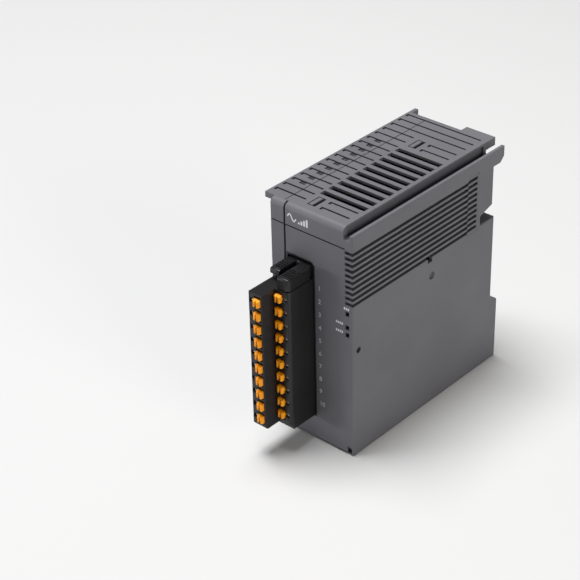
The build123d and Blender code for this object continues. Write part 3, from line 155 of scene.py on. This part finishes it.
# %% [markdown]
# ## Housing plastic
# Such a housing is moulded in a blend of polycarbonate and ABS, dyed a neutral dark
# grey. Its mould was spark-eroded, which leaves a fine, even grain of about a tenth
# of a millimetre: light spreads over it softly, with no clear reflection. That grain
# is finer than a render can show, so it is drawn more than twice as coarse. A slow
# mottle of the colour, two centimetres wide, stands for the flow of the melt, and a
# finer one in the roughness for the places that hands have polished. The colour is
# also darkened with painted shade in grooves, seams and vents, where a place is
# closed in within a millimetre or two. Grain and mottle could come from painted
# images, but noise in object space needs no unwrapping, and its scale can be given
# in millimetres.

# %% Housing plastic
EROSION_GRAIN = 0.24 * MM
MELT_FLOW = 22 * MM
HAND_POLISH = 7 * MM
# How far the polish moves the roughness, and how much of the mottle is grain
POLISH_SWING = 0.06
GRAIN_SHARE = 0.35
# Where the mottle reaches its darker and its lighter shade
DARKER_AT = 0.45
LIGHTER_AT = 0.95
# Width of a recess that gets painted shade, the darkest painted shade, and the
# openness at which the painted shade is full and at which it ends
RECESS = 1.4 * MM
PAINTED_RECESS_SHADE = 0.3
FULL_SHADE_AT = 0.25
NO_SHADE_AT = 0.8


def spark_eroded(name, low, high, roughness, grain_depth, edge, level=0.5):
    """Moulded plastic with a spark-eroded grain, between two shades, with painted shade in
    recesses.
    """
    material, tree, shader = new_material(name, IOR=1.5, Specular_IOR_Level=level)
    place = add(tree, "ShaderNodeTexCoord").outputs["Object"]
    pits = add(tree, "ShaderNodeTexNoise",
               values={"Scale": 1 / EROSION_GRAIN, "Detail": 2.0, "Roughness": 0.6},
               links={"Vector": place})
    flow = add(tree, "ShaderNodeTexNoise",
               values={"Scale": 1 / MELT_FLOW, "Detail": 3.0, "Roughness": 0.5},
               links={"Vector": place})
    polish = add(tree, "ShaderNodeTexNoise", values={"Scale": 1 / HAND_POLISH, "Detail": 4.0},
                 links={"Vector": place})
    blend = add(tree, "ShaderNodeMath", {"operation": "MULTIPLY_ADD"}, {1: GRAIN_SHARE},
                {0: pits.outputs["Fac"], 2: flow.outputs["Fac"]})
    ramp = add(tree, "ShaderNodeValToRGB", links={"Fac": blend.outputs[0]})
    darker, lighter = ramp.color_ramp.elements
    darker.position = DARKER_AT
    darker.color = linear(low)
    lighter.position = LIGHTER_AT
    lighter.color = linear(high)
    # Painted shade: the colour is darkened where ambient occlusion finds a recess
    openness = add(tree, "ShaderNodeAmbientOcclusion", {"samples": 6}, {"Distance": RECESS})
    shade = add(tree, "ShaderNodeMapRange",
                values={"From Min": FULL_SHADE_AT, "From Max": NO_SHADE_AT, "To Min": PAINTED_RECESS_SHADE},
                links={"Value": openness.outputs["AO"]})
    shaded_base = add(tree, "ShaderNodeVectorMath", {"operation": "SCALE"},
                 links={"Vector": ramp.outputs["Color"], "Scale": shade.outputs["Result"]})
    tree.links.new(shaded_base.outputs["Vector"], shader.inputs["Base Color"])
    spread = add(tree, "ShaderNodeMapRange",
                 values={"To Min": roughness - POLISH_SWING, "To Max": roughness + POLISH_SWING},
                 links={"Value": polish.outputs["Fac"]})
    tree.links.new(spread.outputs["Result"], shader.inputs["Roughness"])
    soft_edge = add(tree, "ShaderNodeBevel", {"samples": 4}, {"Radius": edge})
    bump = add(tree, "ShaderNodeBump", values={"Strength": 0.6, "Distance": grain_depth},
               links={"Height": pits.outputs["Fac"], "Normal": soft_edge.outputs["Normal"]})
    tree.links.new(bump.outputs["Normal"], shader.inputs["Normal"])
    return material


housing = spark_eroded("moulded_pc_abs_grey", "#626267", "#6b6b70", roughness=0.54,
                       grain_depth=0.02 * MM, edge=0.3 * MM, level=0.35)
finish_with(housing, "main_case", "left_cover", "bus_socket")

# %% [markdown]
# ## Terminal plastic
# Plugs, headers and clips are moulded in black polyamide filled with glass fibre.
# It is darker and a little shinier than the housing. The buttons are a polyester,
# dyed orange and moulded in a smoother tool. All of them come from a mould like the
# housing's, so they share its recipe, with a shallower grain and sharper edges.

# %% Terminal plastic and buttons
black = spark_eroded("moulded_pa66_black", "#101012", "#161618", roughness=0.44,
                     grain_depth=0.012 * MM, edge=0.1 * MM, level=0.4)
orange = spark_eroded("moulded_pbt_orange", "#f59600", "#ffa81c", roughness=0.42,
                      grain_depth=0.005 * MM, edge=0.1 * MM, level=0.25)
finish_with(black, "terminal_plug", "terminal_header", "bus_pin_carrier", "rail_clip",
            "release_lever")
finish_with(orange, *buttons)

# %% [markdown]
# ## Metals
# The bus pins are phosphor bronze with a flash of gold, the clamps and header pins
# are tinned, the earth spring is bright rolled strip, and the capacitors stand in
# drawn aluminium cans. Rolling and drawing leave streaks along the metal, which show
# as a long, thin variation of the roughness. An anisotropic shader could blur the
# reflections too, but it needs a direction on every face, and these pieces are small.


# %% Metals
# Width of a streak over its length, and how far the roughness swings either way
STREAK_SHAPE = 0.08
SMOOTHER = 0.8
ROUGHER = 1.25


def rolled(name, colour, roughness, streak):
    """Metal strip with rolling streaks along Z."""
    material, tree, shader = new_material(name, Metallic=1.0, Base_Color=linear(colour))
    place = add(tree, "ShaderNodeTexCoord").outputs["Object"]
    stretched = add(tree, "ShaderNodeMapping",
                    values={"Scale": (1 / streak, 1 / streak, STREAK_SHAPE / streak)},
                    links={"Vector": place})
    noise = add(tree, "ShaderNodeTexNoise", values={"Scale": 1.0, "Detail": 3.0},
                links={"Vector": stretched.outputs["Vector"]})
    spread = add(tree, "ShaderNodeMapRange",
                 values={"To Min": roughness * SMOOTHER, "To Max": roughness * ROUGHER},
                 links={"Value": noise.outputs["Fac"]})
    tree.links.new(spread.outputs["Result"], shader.inputs["Roughness"])
    bump = add(tree, "ShaderNodeBump", values={"Strength": 0.3, "Distance": 0.004 * MM},
               links={"Height": noise.outputs["Fac"]})
    tree.links.new(bump.outputs["Normal"], shader.inputs["Normal"])
    return material


gold = rolled("gold_flash_on_bronze", "#e2b765", roughness=0.26, streak=0.15 * MM)
tin = rolled("bright_tin_plate", "#cfcfcc", roughness=0.30, streak=0.15 * MM)
steel = rolled("rolled_spring_steel", "#b9babb", roughness=0.26, streak=0.10 * MM)
can = rolled("drawn_aluminium", "#c4c6c8", roughness=0.35, streak=0.2 * MM)
finish_with(gold, "bus_pins", "bus_socket_contacts")
finish_with(tin, "header_pins", "wire_clamps")
finish_with(steel, "earth_spring", "earth_screw", "lever_pin")
finish_with(can, "capacitors")

# %% [markdown]
# ## Light guide and indicators
# The light guide is clear polycarbonate. With the module off, it looks nearly black,
# because the dark inside shows through it. A glass shader could show that for real,
# but it costs many bounces and leaves noise, so a dark smoke colour and a smooth skin
# stand for the clear plastic and what lies behind. The indicators behind it are cast
# in a milky resin, which spreads their light.

# %% Light guide and indicators
SMOKE_DRIFT = 3 * MM
guide, guide_tree, guide_shader = new_material("clear_polycarbonate", IOR=1.58)
guide_depth = add(guide_tree, "ShaderNodeTexNoise", values={"Scale": 1 / SMOKE_DRIFT})
guide_tint = add(guide_tree, "ShaderNodeMix", {"data_type": "RGBA"},
                 {"A": linear("#17181b"), "B": linear("#24262b")},
                 {"Factor": guide_depth.outputs["Fac"]})
guide_tree.links.new(guide_tint.outputs["Result"], guide_shader.inputs["Base Color"])
guide_shader.inputs["Roughness"].default_value = 0.15
led = spark_eroded("led_resin", "#cfcfc0", "#dcdccf", roughness=0.3,
                   grain_depth=0.004 * MM, edge=0.05 * MM)
finish_with(guide, "light_guide")
finish_with(led, "indicator_leds")

# %% [markdown]
# ## Boards and the parts on them
# The boards are glass-fibre laminate under a green solder mask, with the copper
# showing through as a lighter pattern. Its tracks could be drawn one by one, but the
# boards only show when the housing is opened, so a brick pattern at the pitch of the
# tracks is enough. Chips are black epoxy, and the cores are sintered ferrite, which
# is rougher and greyer.

# %% Boards and the parts on them
TRACK_PITCH = 4 * MM
TRACK_SHARE = 0.03
board, board_tree, board_shader = new_material("solder_mask_green", Roughness=0.3, IOR=1.5)
board_place = add(board_tree, "ShaderNodeTexCoord").outputs["Object"]
tracks = add(board_tree, "ShaderNodeTexBrick", {"offset": 0.5},
             {"Scale": 1 / TRACK_PITCH, "Mortar Size": TRACK_SHARE, "Color1": linear("#0a2415"),
              "Color2": linear("#0c2a18"), "Mortar": linear("#123c22")},
             {"Vector": board_place})
board_tree.links.new(tracks.outputs["Color"], board_shader.inputs["Base Color"])
finish_with(board, "terminal_board", "bus_board")
epoxy = spark_eroded("chip_epoxy", "#101113", "#151618", roughness=0.55,
                     grain_depth=0.01 * MM, edge=0.1 * MM)
finish_with(epoxy, "board_link_socket", "board_link_plug", "converter_chips", "signal_isolators",
            "processor_chip")
ferrite = spark_eroded("sintered_ferrite", "#1c1c1d", "#242425", roughness=0.7,
                       grain_depth=0.03 * MM, edge=0.2 * MM)
finish_with(ferrite, "isolating_transformer", "supply_inductor")

# %% [markdown]
# ## Stickers and ink
# The stickers are satin polyester film. It is smooth, with a slight orange peel from
# the adhesive below. The print on it is black thermal ink, and the print on the
# housing is white and grey ink from a pad. The print could be an image on the film.
# Here it is made of thin solid pieces further down, which stay sharp close by and
# take a material of their own, the ink.


# %% Stickers and ink
ORANGE_PEEL = 3 * MM
INK_SPECKLE = 0.4 * MM


def coated(name, low, high, roughness, ripple, depth):
    """A film or ink layer with a slow ripple."""
    material, tree, shader = new_material(name, Roughness=roughness, IOR=1.5)
    place = add(tree, "ShaderNodeTexCoord").outputs["Object"]
    noise = add(tree, "ShaderNodeTexNoise", values={"Scale": 1 / ripple, "Detail": 2.0},
                links={"Vector": place})
    tint = add(tree, "ShaderNodeMix", {"data_type": "RGBA"},
               {"A": linear(low), "B": linear(high)}, {"Factor": noise.outputs["Fac"]})
    tree.links.new(tint.outputs["Result"], shader.inputs["Base Color"])
    bump = add(tree, "ShaderNodeBump", values={"Strength": 0.4, "Distance": depth},
               links={"Height": noise.outputs["Fac"]})
    tree.links.new(bump.outputs["Normal"], shader.inputs["Normal"])
    return material


grey_film = coated("satin_polyester_grey", "#b0b2b5", "#babcbf", roughness=0.42,
                   ripple=ORANGE_PEEL, depth=0.01 * MM)
white_film = coated("satin_polyester_white", "#e4e4e3", "#eeeeed", roughness=0.4,
                    ripple=ORANGE_PEEL, depth=0.01 * MM)
black_ink = coated("thermal_ink_black", "#1c1c1e", "#29292b", roughness=0.5,
                   ripple=INK_SPECKLE, depth=0.003 * MM)
white_ink = coated("pad_ink_white", "#d3d4d8", "#e4e5e8", roughness=0.5,
                   ripple=INK_SPECKLE, depth=0.003 * MM)
grey_ink = coated("pad_ink_grey", "#b0b1b6", "#bfc0c5", roughness=0.5,
                  ripple=INK_SPECKLE, depth=0.003 * MM)
finish_with(grey_film, "rating_label")
finish_with(white_film, "code_label")

# %% [markdown]
# ## Edges that the mould rounds
# No moulded edge is sharp. On the small black and orange pieces, the rounding is
# about a tenth of a millimetre wide, and it catches the light as a thin line. The
# shader alone could bend the light there, as it does on the housing, but up close the
# outline would stay sharp. So it is made with modifiers, which leave the CAD mesh as
# it is: the first joins the faces that meet, the second merges each flat area into
# one face, and the third rounds the edges between them.


# %% Rounded edges
MOULD_RADIUS = 0.12 * MM
JOIN_REACH = 0.002 * MM
FLAT_ANGLE = math.radians(2.0)
SHARP_ANGLE = math.radians(50)


def rounded(width, *nodes):
    """Rounds the sharp edges of CAD nodes by a width, with modifiers only."""
    for node in nodes:
        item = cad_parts[node]
        weld = item.modifiers.new("join_faces", "WELD")
        weld.merge_threshold = JOIN_REACH
        merge = item.modifiers.new("merge_flats", "DECIMATE")
        merge.decimate_type = "DISSOLVE"
        merge.angle_limit = FLAT_ANGLE
        edge = item.modifiers.new("mould_radius", "BEVEL")
        edge.width = width
        edge.segments = 2
        edge.limit_method = "ANGLE"
        edge.angle_limit = SHARP_ANGLE
        edge.use_clamp_overlap = True
        edge.harden_normals = True
    print("edges of", width / MM, "mm on", len(nodes), "nodes")


rounded(MOULD_RADIUS, "terminal_plug", "terminal_header", "release_lever", "rail_clip", *buttons)

# %% [markdown]
# ## Making pieces
# A new piece is built as a bare mesh, gets its material, and then rides on a body of
# the frame, so that it moves with it. Ink could be a bare flat face, but a face
# without a back can vanish or flicker on its surface. So all ink is a thin solid
# plate, a few hundredths of a millimetre high, with real faces on every side.


# %% Helpers for pieces
INK = 0.03 * MM


def piece_from(name, mesh, material, body):
    """A mesh as an object that rides on a body, with its material."""
    mesh.name = name
    mesh.materials.clear()
    mesh.materials.append(material)
    piece = bpy.data.objects.new(name, mesh)
    bpy.context.scene.collection.objects.link(piece)
    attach(piece, body)


def surface_frame(origin, across, up):
    """The matrix of a flat surface: a point on it, and its two directions."""
    across = Vector(across)
    up = Vector(up)
    outwards = across.cross(up)
    matrix = Matrix((across, up, outwards)).transposed().to_4x4()
    return Matrix.Translation(origin) @ matrix


def plate(mesh, outline, place):
    """Adds a thin plate of ink with a flat outline to a bmesh, at a place on a surface."""
    low = [mesh.verts.new(place @ Vector((x, y, 0))) for x, y in outline]
    high = [mesh.verts.new(place @ Vector((x, y, INK))) for x, y in outline]
    mesh.faces.new(list(reversed(low)))
    mesh.faces.new(high)
    for i in range(len(outline)):
        j = (i + 1) % len(outline)
        mesh.faces.new((low[i], low[j], high[j], high[i]))


def finished(mesh):
    """A bmesh with its normals put right, as a mesh."""
    bmesh.ops.recalc_face_normals(mesh, faces=mesh.faces)
    data = bpy.data.meshes.new("piece")
    mesh.to_mesh(data)
    mesh.free()
    return data


def ribbon(points, width):
    """The outline of a pen stroke of one width along points."""
    left = []
    right = []
    for i, (x, y) in enumerate(points):
        before = points[max(i - 1, 0)]
        after = points[min(i + 1, len(points) - 1)]
        along = Vector((after[0] - before[0], after[1] - before[1])).normalized()
        left.append((x - along.y * width / 2, y + along.x * width / 2))
        right.append((x + along.y * width / 2, y - along.x * width / 2))
    return left + list(reversed(right))


def bar(x0, x1, y0, y1):
    """The outline of an upright rectangle."""
    return [(x0, y0), (x1, y0), (x1, y1), (x0, y1)]


# %% [markdown]
# ## Terminal numbers
# Each pole of the plug has its number beside it on the housing, in light grey pad
# ink. The digits could be drawn stroke by stroke, but Blender's own font has them
# ready: each number is typed, made solid, and turned into a mesh that stands on the
# front face.

# %% Terminal numbers
DIGIT_HEIGHT = 1.7 * MM
DIGIT_WEIGHT = 0.035 * MM
# Height of a digit over the size of its font
DIGIT_SHARE = 0.7
NUMBER_X = header_high.x + 0.5 * MM
front_face = surface_frame((0, FRONT, 0), (1, 0, 0), (0, 0, 1))


def printed_text(text, height, place):
    """Digits as a thin solid mesh, with their lower left corner at a place."""
    curve = bpy.data.curves.new("digits", "FONT")
    curve.body = text
    curve.size = height / DIGIT_SHARE
    curve.extrude = INK / 2
    curve.offset = DIGIT_WEIGHT
    curve.resolution_u = 3
    holder = bpy.data.objects.new("digits", curve)
    bpy.context.scene.collection.objects.link(holder)
    bpy.context.view_layer.update()
    solid = holder.evaluated_get(bpy.context.evaluated_depsgraph_get())
    mesh = bpy.data.meshes.new_from_object(solid)
    mesh.transform(place @ Matrix.Translation((0, 0, INK / 2)))
    bpy.data.objects.remove(holder)
    bpy.data.curves.remove(curve)
    return mesh


for pole in range(POLES):
    button_low, button_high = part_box(buttons[POLES + pole])
    middle = (button_low.z + button_high.z) / 2
    spot = front_face @ Matrix.Translation((NUMBER_X, middle - DIGIT_HEIGHT / 2, 0))
    digits = printed_text(str(POLES - pole), DIGIT_HEIGHT, spot)
    piece_from(f"terminal_number_{POLES - pole:02d}", digits, grey_ink, "housing")
print(POLES, "terminal numbers")

# %% [markdown]
# ## Function mark
# The band at the top of the front carries what the module does. Here it is a wave
# that turns into steps, the general sign for an analogue signal that becomes a
# number, with four bars for its four channels. A curve with a bevel could draw the
# wave, but it would be round, and ink is flat. So the wave is a pen stroke of one
# width along a sampled sine.

# %% Function mark
MARK_X = LEFT + 7.6 * MM
MARK_Z = TOP - 5.6 * MM
MARK_HEIGHT = 2.7 * MM
PEN = 0.5 * MM
WAVE_WIDTH = 3.6 * MM
WAVE_POINTS = 24
CHANNELS = 4
STEPS_X = WAVE_WIDTH + 0.9 * MM
STEP = 0.75 * MM
STEP_PITCH = 1.5

mark = bmesh.new()
mark_place = front_face @ Matrix.Translation((MARK_X, MARK_Z, 0))
wave = []
for i in range(WAVE_POINTS + 1):
    t = i / WAVE_POINTS
    swing = math.sin(t * 2 * math.pi) * (MARK_HEIGHT - PEN) / 2
    wave.append((t * WAVE_WIDTH, MARK_HEIGHT / 2 + swing))
plate(mark, ribbon(wave, PEN), mark_place)
for i in range(CHANNELS):
    x = STEPS_X + i * STEP * STEP_PITCH
    plate(mark, bar(x, x + STEP, 0, MARK_HEIGHT * (i + 1) / CHANNELS), mark_place)
piece_from("function_mark", finished(mark), white_ink, "housing")
print("function mark with", CHANNELS, "steps")

# %% [markdown]
# ## Indicator marks
# Each of the three indicators has a short legend near it. The words are left out,
# and a row of short bars stands for each. Their places are read from the light
# guide, so the legends follow it.

# %% Indicator marks
LEGEND_BAR = 0.5 * MM
LEGEND_GAP = 0.3 * MM
LEGEND_HEIGHT = 0.85 * MM
legends = bmesh.new()
# Left end, lower edge and number of bars of each legend
legend_spots = (
    (guide_low.x - 0.6 * MM, guide_high.z + 0.7 * MM, 3),
    (guide_low.x - 4.0 * MM, guide_low.z + 4.2 * MM, 4),
    (guide_low.x - 4.0 * MM, guide_low.z + 1.0 * MM, 4),
)
for x, z, bars in legend_spots:
    for i in range(bars):
        start = x + i * (LEGEND_BAR + LEGEND_GAP)
        plate(legends, bar(start, start + LEGEND_BAR, z, z + LEGEND_HEIGHT), front_face)
piece_from("indicator_marks", finished(legends), white_ink, "housing")
print(len(legend_spots), "legends")

# %% [markdown]
# ## Print on the stickers
# The large sticker carries lines of small type and a mark of two rings, and the
# small one a block code. A texture could hold all of it, but would blur up close.
# None of it can be read here: lines of type are rows of short bars of uneven length,
# and the code is a grid of blocks filled at random from a fixed seed.

# %% Print on the large sticker
random.seed(11)
rating_face = surface_frame((rating_low.x, rating_high.y, rating_high.z), (0, 0, -1), (0, -1, 0))
TYPE_MARGIN = 2.0 * MM
# Lengths of words and of the space between them, over the height of the type
SHORT_WORD = 1.2
LONG_WORD = 4.2
WORD_SPACE = 0.7


def type_line(mesh, place, x, y, length, height):
    """A row of bars that stands for a line of type."""
    end = x + length
    while x < end:
        word = random.uniform(SHORT_WORD, LONG_WORD) * height
        plate(mesh, bar(x, min(x + word, end), y, y + height), place)
        x += word + WORD_SPACE * height


RING_PLATES = 16
# Share of its place that each plate of a ring fills, which leaves a fine gap
RING_FILL = 0.97


def ring(mesh, place, x, y, radius, width):
    """A ring of short plates, with a fine gap between each two."""
    for i in range(RING_PLATES):
        points = []
        for j in range(4):
            angle = 2 * math.pi * (i + j / 3 * RING_FILL) / RING_PLATES
            points.append((x + radius * math.cos(angle), y + radius * math.sin(angle)))
        plate(mesh, ribbon(points, width), place)


rating_print = bmesh.new()
label_length = rating_high.z - rating_low.z
# Height on the sticker, length of the line and height of the type, in millimetres
type_rows = ((21.4, 30.0, 1.6), (18.6, 24.0, 0.8), (17.0, 28.0, 0.8), (15.4, 33.0, 0.8),
             (9.0, 29.0, 1.5), (5.6, 12.0, 0.8), (4.0, 34.0, 0.8), (2.4, 38.0, 0.8))
for y, length, height in type_rows:
    type_line(rating_print, rating_face, TYPE_MARGIN, y * MM, length * MM, height * MM)
RING_X = label_length - 12 * MM
RING_Y = 16.5 * MM
RING_WIDTH = 0.4 * MM
for radius in (2.4, 1.3):
    ring(rating_print, rating_face, RING_X, RING_Y, radius * MM, RING_WIDTH)
piece_from("rating_print", finished(rating_print), black_ink, "housing")
print(len(type_rows), "lines of type and two rings")

# %% Print on the small sticker
code_face = surface_frame((code_low.x, code_high.y, code_high.z), (0, 0, -1), (0, -1, 0))
CODE_CELLS = 20
CELL = 0.5 * MM
# Chance that a cell is filled, and the width of the ink in it
FILLED = 0.5
BLOCK = CELL * 0.96
CODE_LEFT = 2.0 * MM
CODE_FOOT = 5.5 * MM
SMALL_TYPE = 0.8 * MM

code_print = bmesh.new()
for row in range(CODE_CELLS):
    for column in range(CODE_CELLS):
        if random.random() < FILLED:
            x = CODE_LEFT + column * CELL
            y = CODE_FOOT + row * CELL
            plate(code_print, bar(x, x + BLOCK, y, y + BLOCK), code_face)
type_line(code_print, code_face, CODE_LEFT, 3.2 * MM, 10.0 * MM, SMALL_TYPE)
type_line(code_print, code_face, CODE_LEFT, 1.6 * MM, 8.0 * MM, SMALL_TYPE)
piece_from("code_print", finished(code_print), black_ink, "housing")
print("code of", CODE_CELLS, "by", CODE_CELLS, "cells")

# %% [markdown]
# ## Metal in the wire entries
# Behind each round entry lies the mouth of the tinned cage that grips the wire. Only
# its bright rim shows, deep in the hole. A plain torus could stand for the rim, but
# it has no bore that falls away into the dark. So it is a small sleeve with a flared
# lip, one for each entry, turned from a profile round the entry's axis.

# %% Metal in the wire entries
SLEEVE_OUTER = 0.72 * MM
SLEEVE_INNER = 0.42 * MM
SLEEVE_LENGTH = 1.6 * MM
SLEEVE_SINK = 0.75 * MM
SLEEVE_SIDES = 20
LIP_DEPTH = SLEEVE_LENGTH * 0.3
LIP_RADIUS = SLEEVE_OUTER * 0.86
ENTRY_HIGH_X = plug_low.x + 1.4 * MM
ENTRY_LOW_X = plug_high.x - 1.6 * MM
tier_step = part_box(buttons[POLES])[0].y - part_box(buttons[0])[0].y


def sleeve(mesh, x, y, z):
    """A short sleeve along Y, with its flared lip at the front."""
    profile = (
        (SLEEVE_OUTER, 0), (SLEEVE_OUTER, SLEEVE_LENGTH), (SLEEVE_INNER, SLEEVE_LENGTH),
        (SLEEVE_INNER, LIP_DEPTH), (LIP_RADIUS, 0),
    )
    rings = []
    for radius, depth in profile:
        ring_points = []
        for i in range(SLEEVE_SIDES):
            angle = 2 * math.pi * i / SLEEVE_SIDES
            point = (x + radius * math.cos(angle), y + depth, z + radius * math.sin(angle))
            ring_points.append(mesh.verts.new(point))
        rings.append(ring_points)
    for here, there in zip(rings, rings[1:] + rings[:1]):
        for i in range(SLEEVE_SIDES):
            j = (i + 1) % SLEEVE_SIDES
            mesh.faces.new((here[i], here[j], there[j], there[i]))


sleeves = bmesh.new()
for order, name in enumerate(buttons):
    button_low, button_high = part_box(name)
    middle = (button_low.z + button_high.z) / 2
    high_tier = order < POLES
    face_y = plug_low.y + (0 if high_tier else tier_step)
    sleeve(sleeves, ENTRY_HIGH_X if high_tier else ENTRY_LOW_X, face_y + SLEEVE_SINK, middle)
piece_from("cage_mouths", finished(sleeves), tin, "plug")
print(len(buttons), "cage mouths")

# %% [markdown]
# ## Floor and light
# A pale floor and soft lamps, as on a product table. The lamp above is the
# brightest, so the top of the box is the lightest side. A low, slightly cool lamp at
# the left front lights the front, and lets the plug throw a soft shadow to the right.
# A slightly warm one at the right lights the side without stickers. A light map of a
# studio could do it too, but three lamps are easier to understand and to move. A
# white world, kept weak, fills the shadows.

# %% Floor and light
FLOOR = 3.0
FILL = 0.12
floor_mesh = bpy.data.meshes.new("floor")
floor_corners = [(x * FLOOR, y * FLOOR, 0) for x, y in ((-1, -1), (1, -1), (1, 1), (-1, 1))]
floor_mesh.from_pydata(floor_corners, [], [(0, 1, 2, 3)])
floor = bpy.data.objects.new("floor", floor_mesh)
bpy.context.scene.collection.objects.link(floor)
paint = new_material("white_paint", Base_Color=linear("#d2d2d2"), Roughness=0.8)[0]
floor_mesh.materials.append(paint)

world = bpy.data.worlds.new("studio")
bpy.context.scene.world = world
world.use_nodes = True
background = world.node_tree.nodes["Background"]
background.inputs["Color"].default_value = (1.0, 1.0, 1.0, 1.0)
background.inputs["Strength"].default_value = FILL


def soft_lamp(name, place, aim, size, power, tint="#ffffff"):
    """A square soft lamp that points at a place, with its size in metres and power in watts."""
    lamp = bpy.data.lights.new(name, "AREA")
    lamp.shape = "SQUARE"
    lamp.size = size
    lamp.energy = power
    lamp.color = linear(tint)[:3]
    holder = bpy.data.objects.new(name, lamp)
    bpy.context.scene.collection.objects.link(holder)
    holder.location = place
    holder.rotation_euler = (Vector(aim) - Vector(place)).to_track_quat("-Z", "Y").to_euler()


soft_lamp("lamp_above", (-0.25, -0.1, 1.4), (0, 0, 0.04), 0.7, 26.0)
soft_lamp("lamp_left_front", (-0.75, -0.8, 0.03), (0, 0, 0.05), 0.22, 4.6, "#f2f4ff")
soft_lamp("lamp_right", (1.2, -0.2, 0.45), (0, 0, 0.04), 0.6, 6.0, "#fffaf4")
bpy.context.scene.view_settings.view_transform = "Standard"
print("floor, world and", len(bpy.data.lights), "lamps")
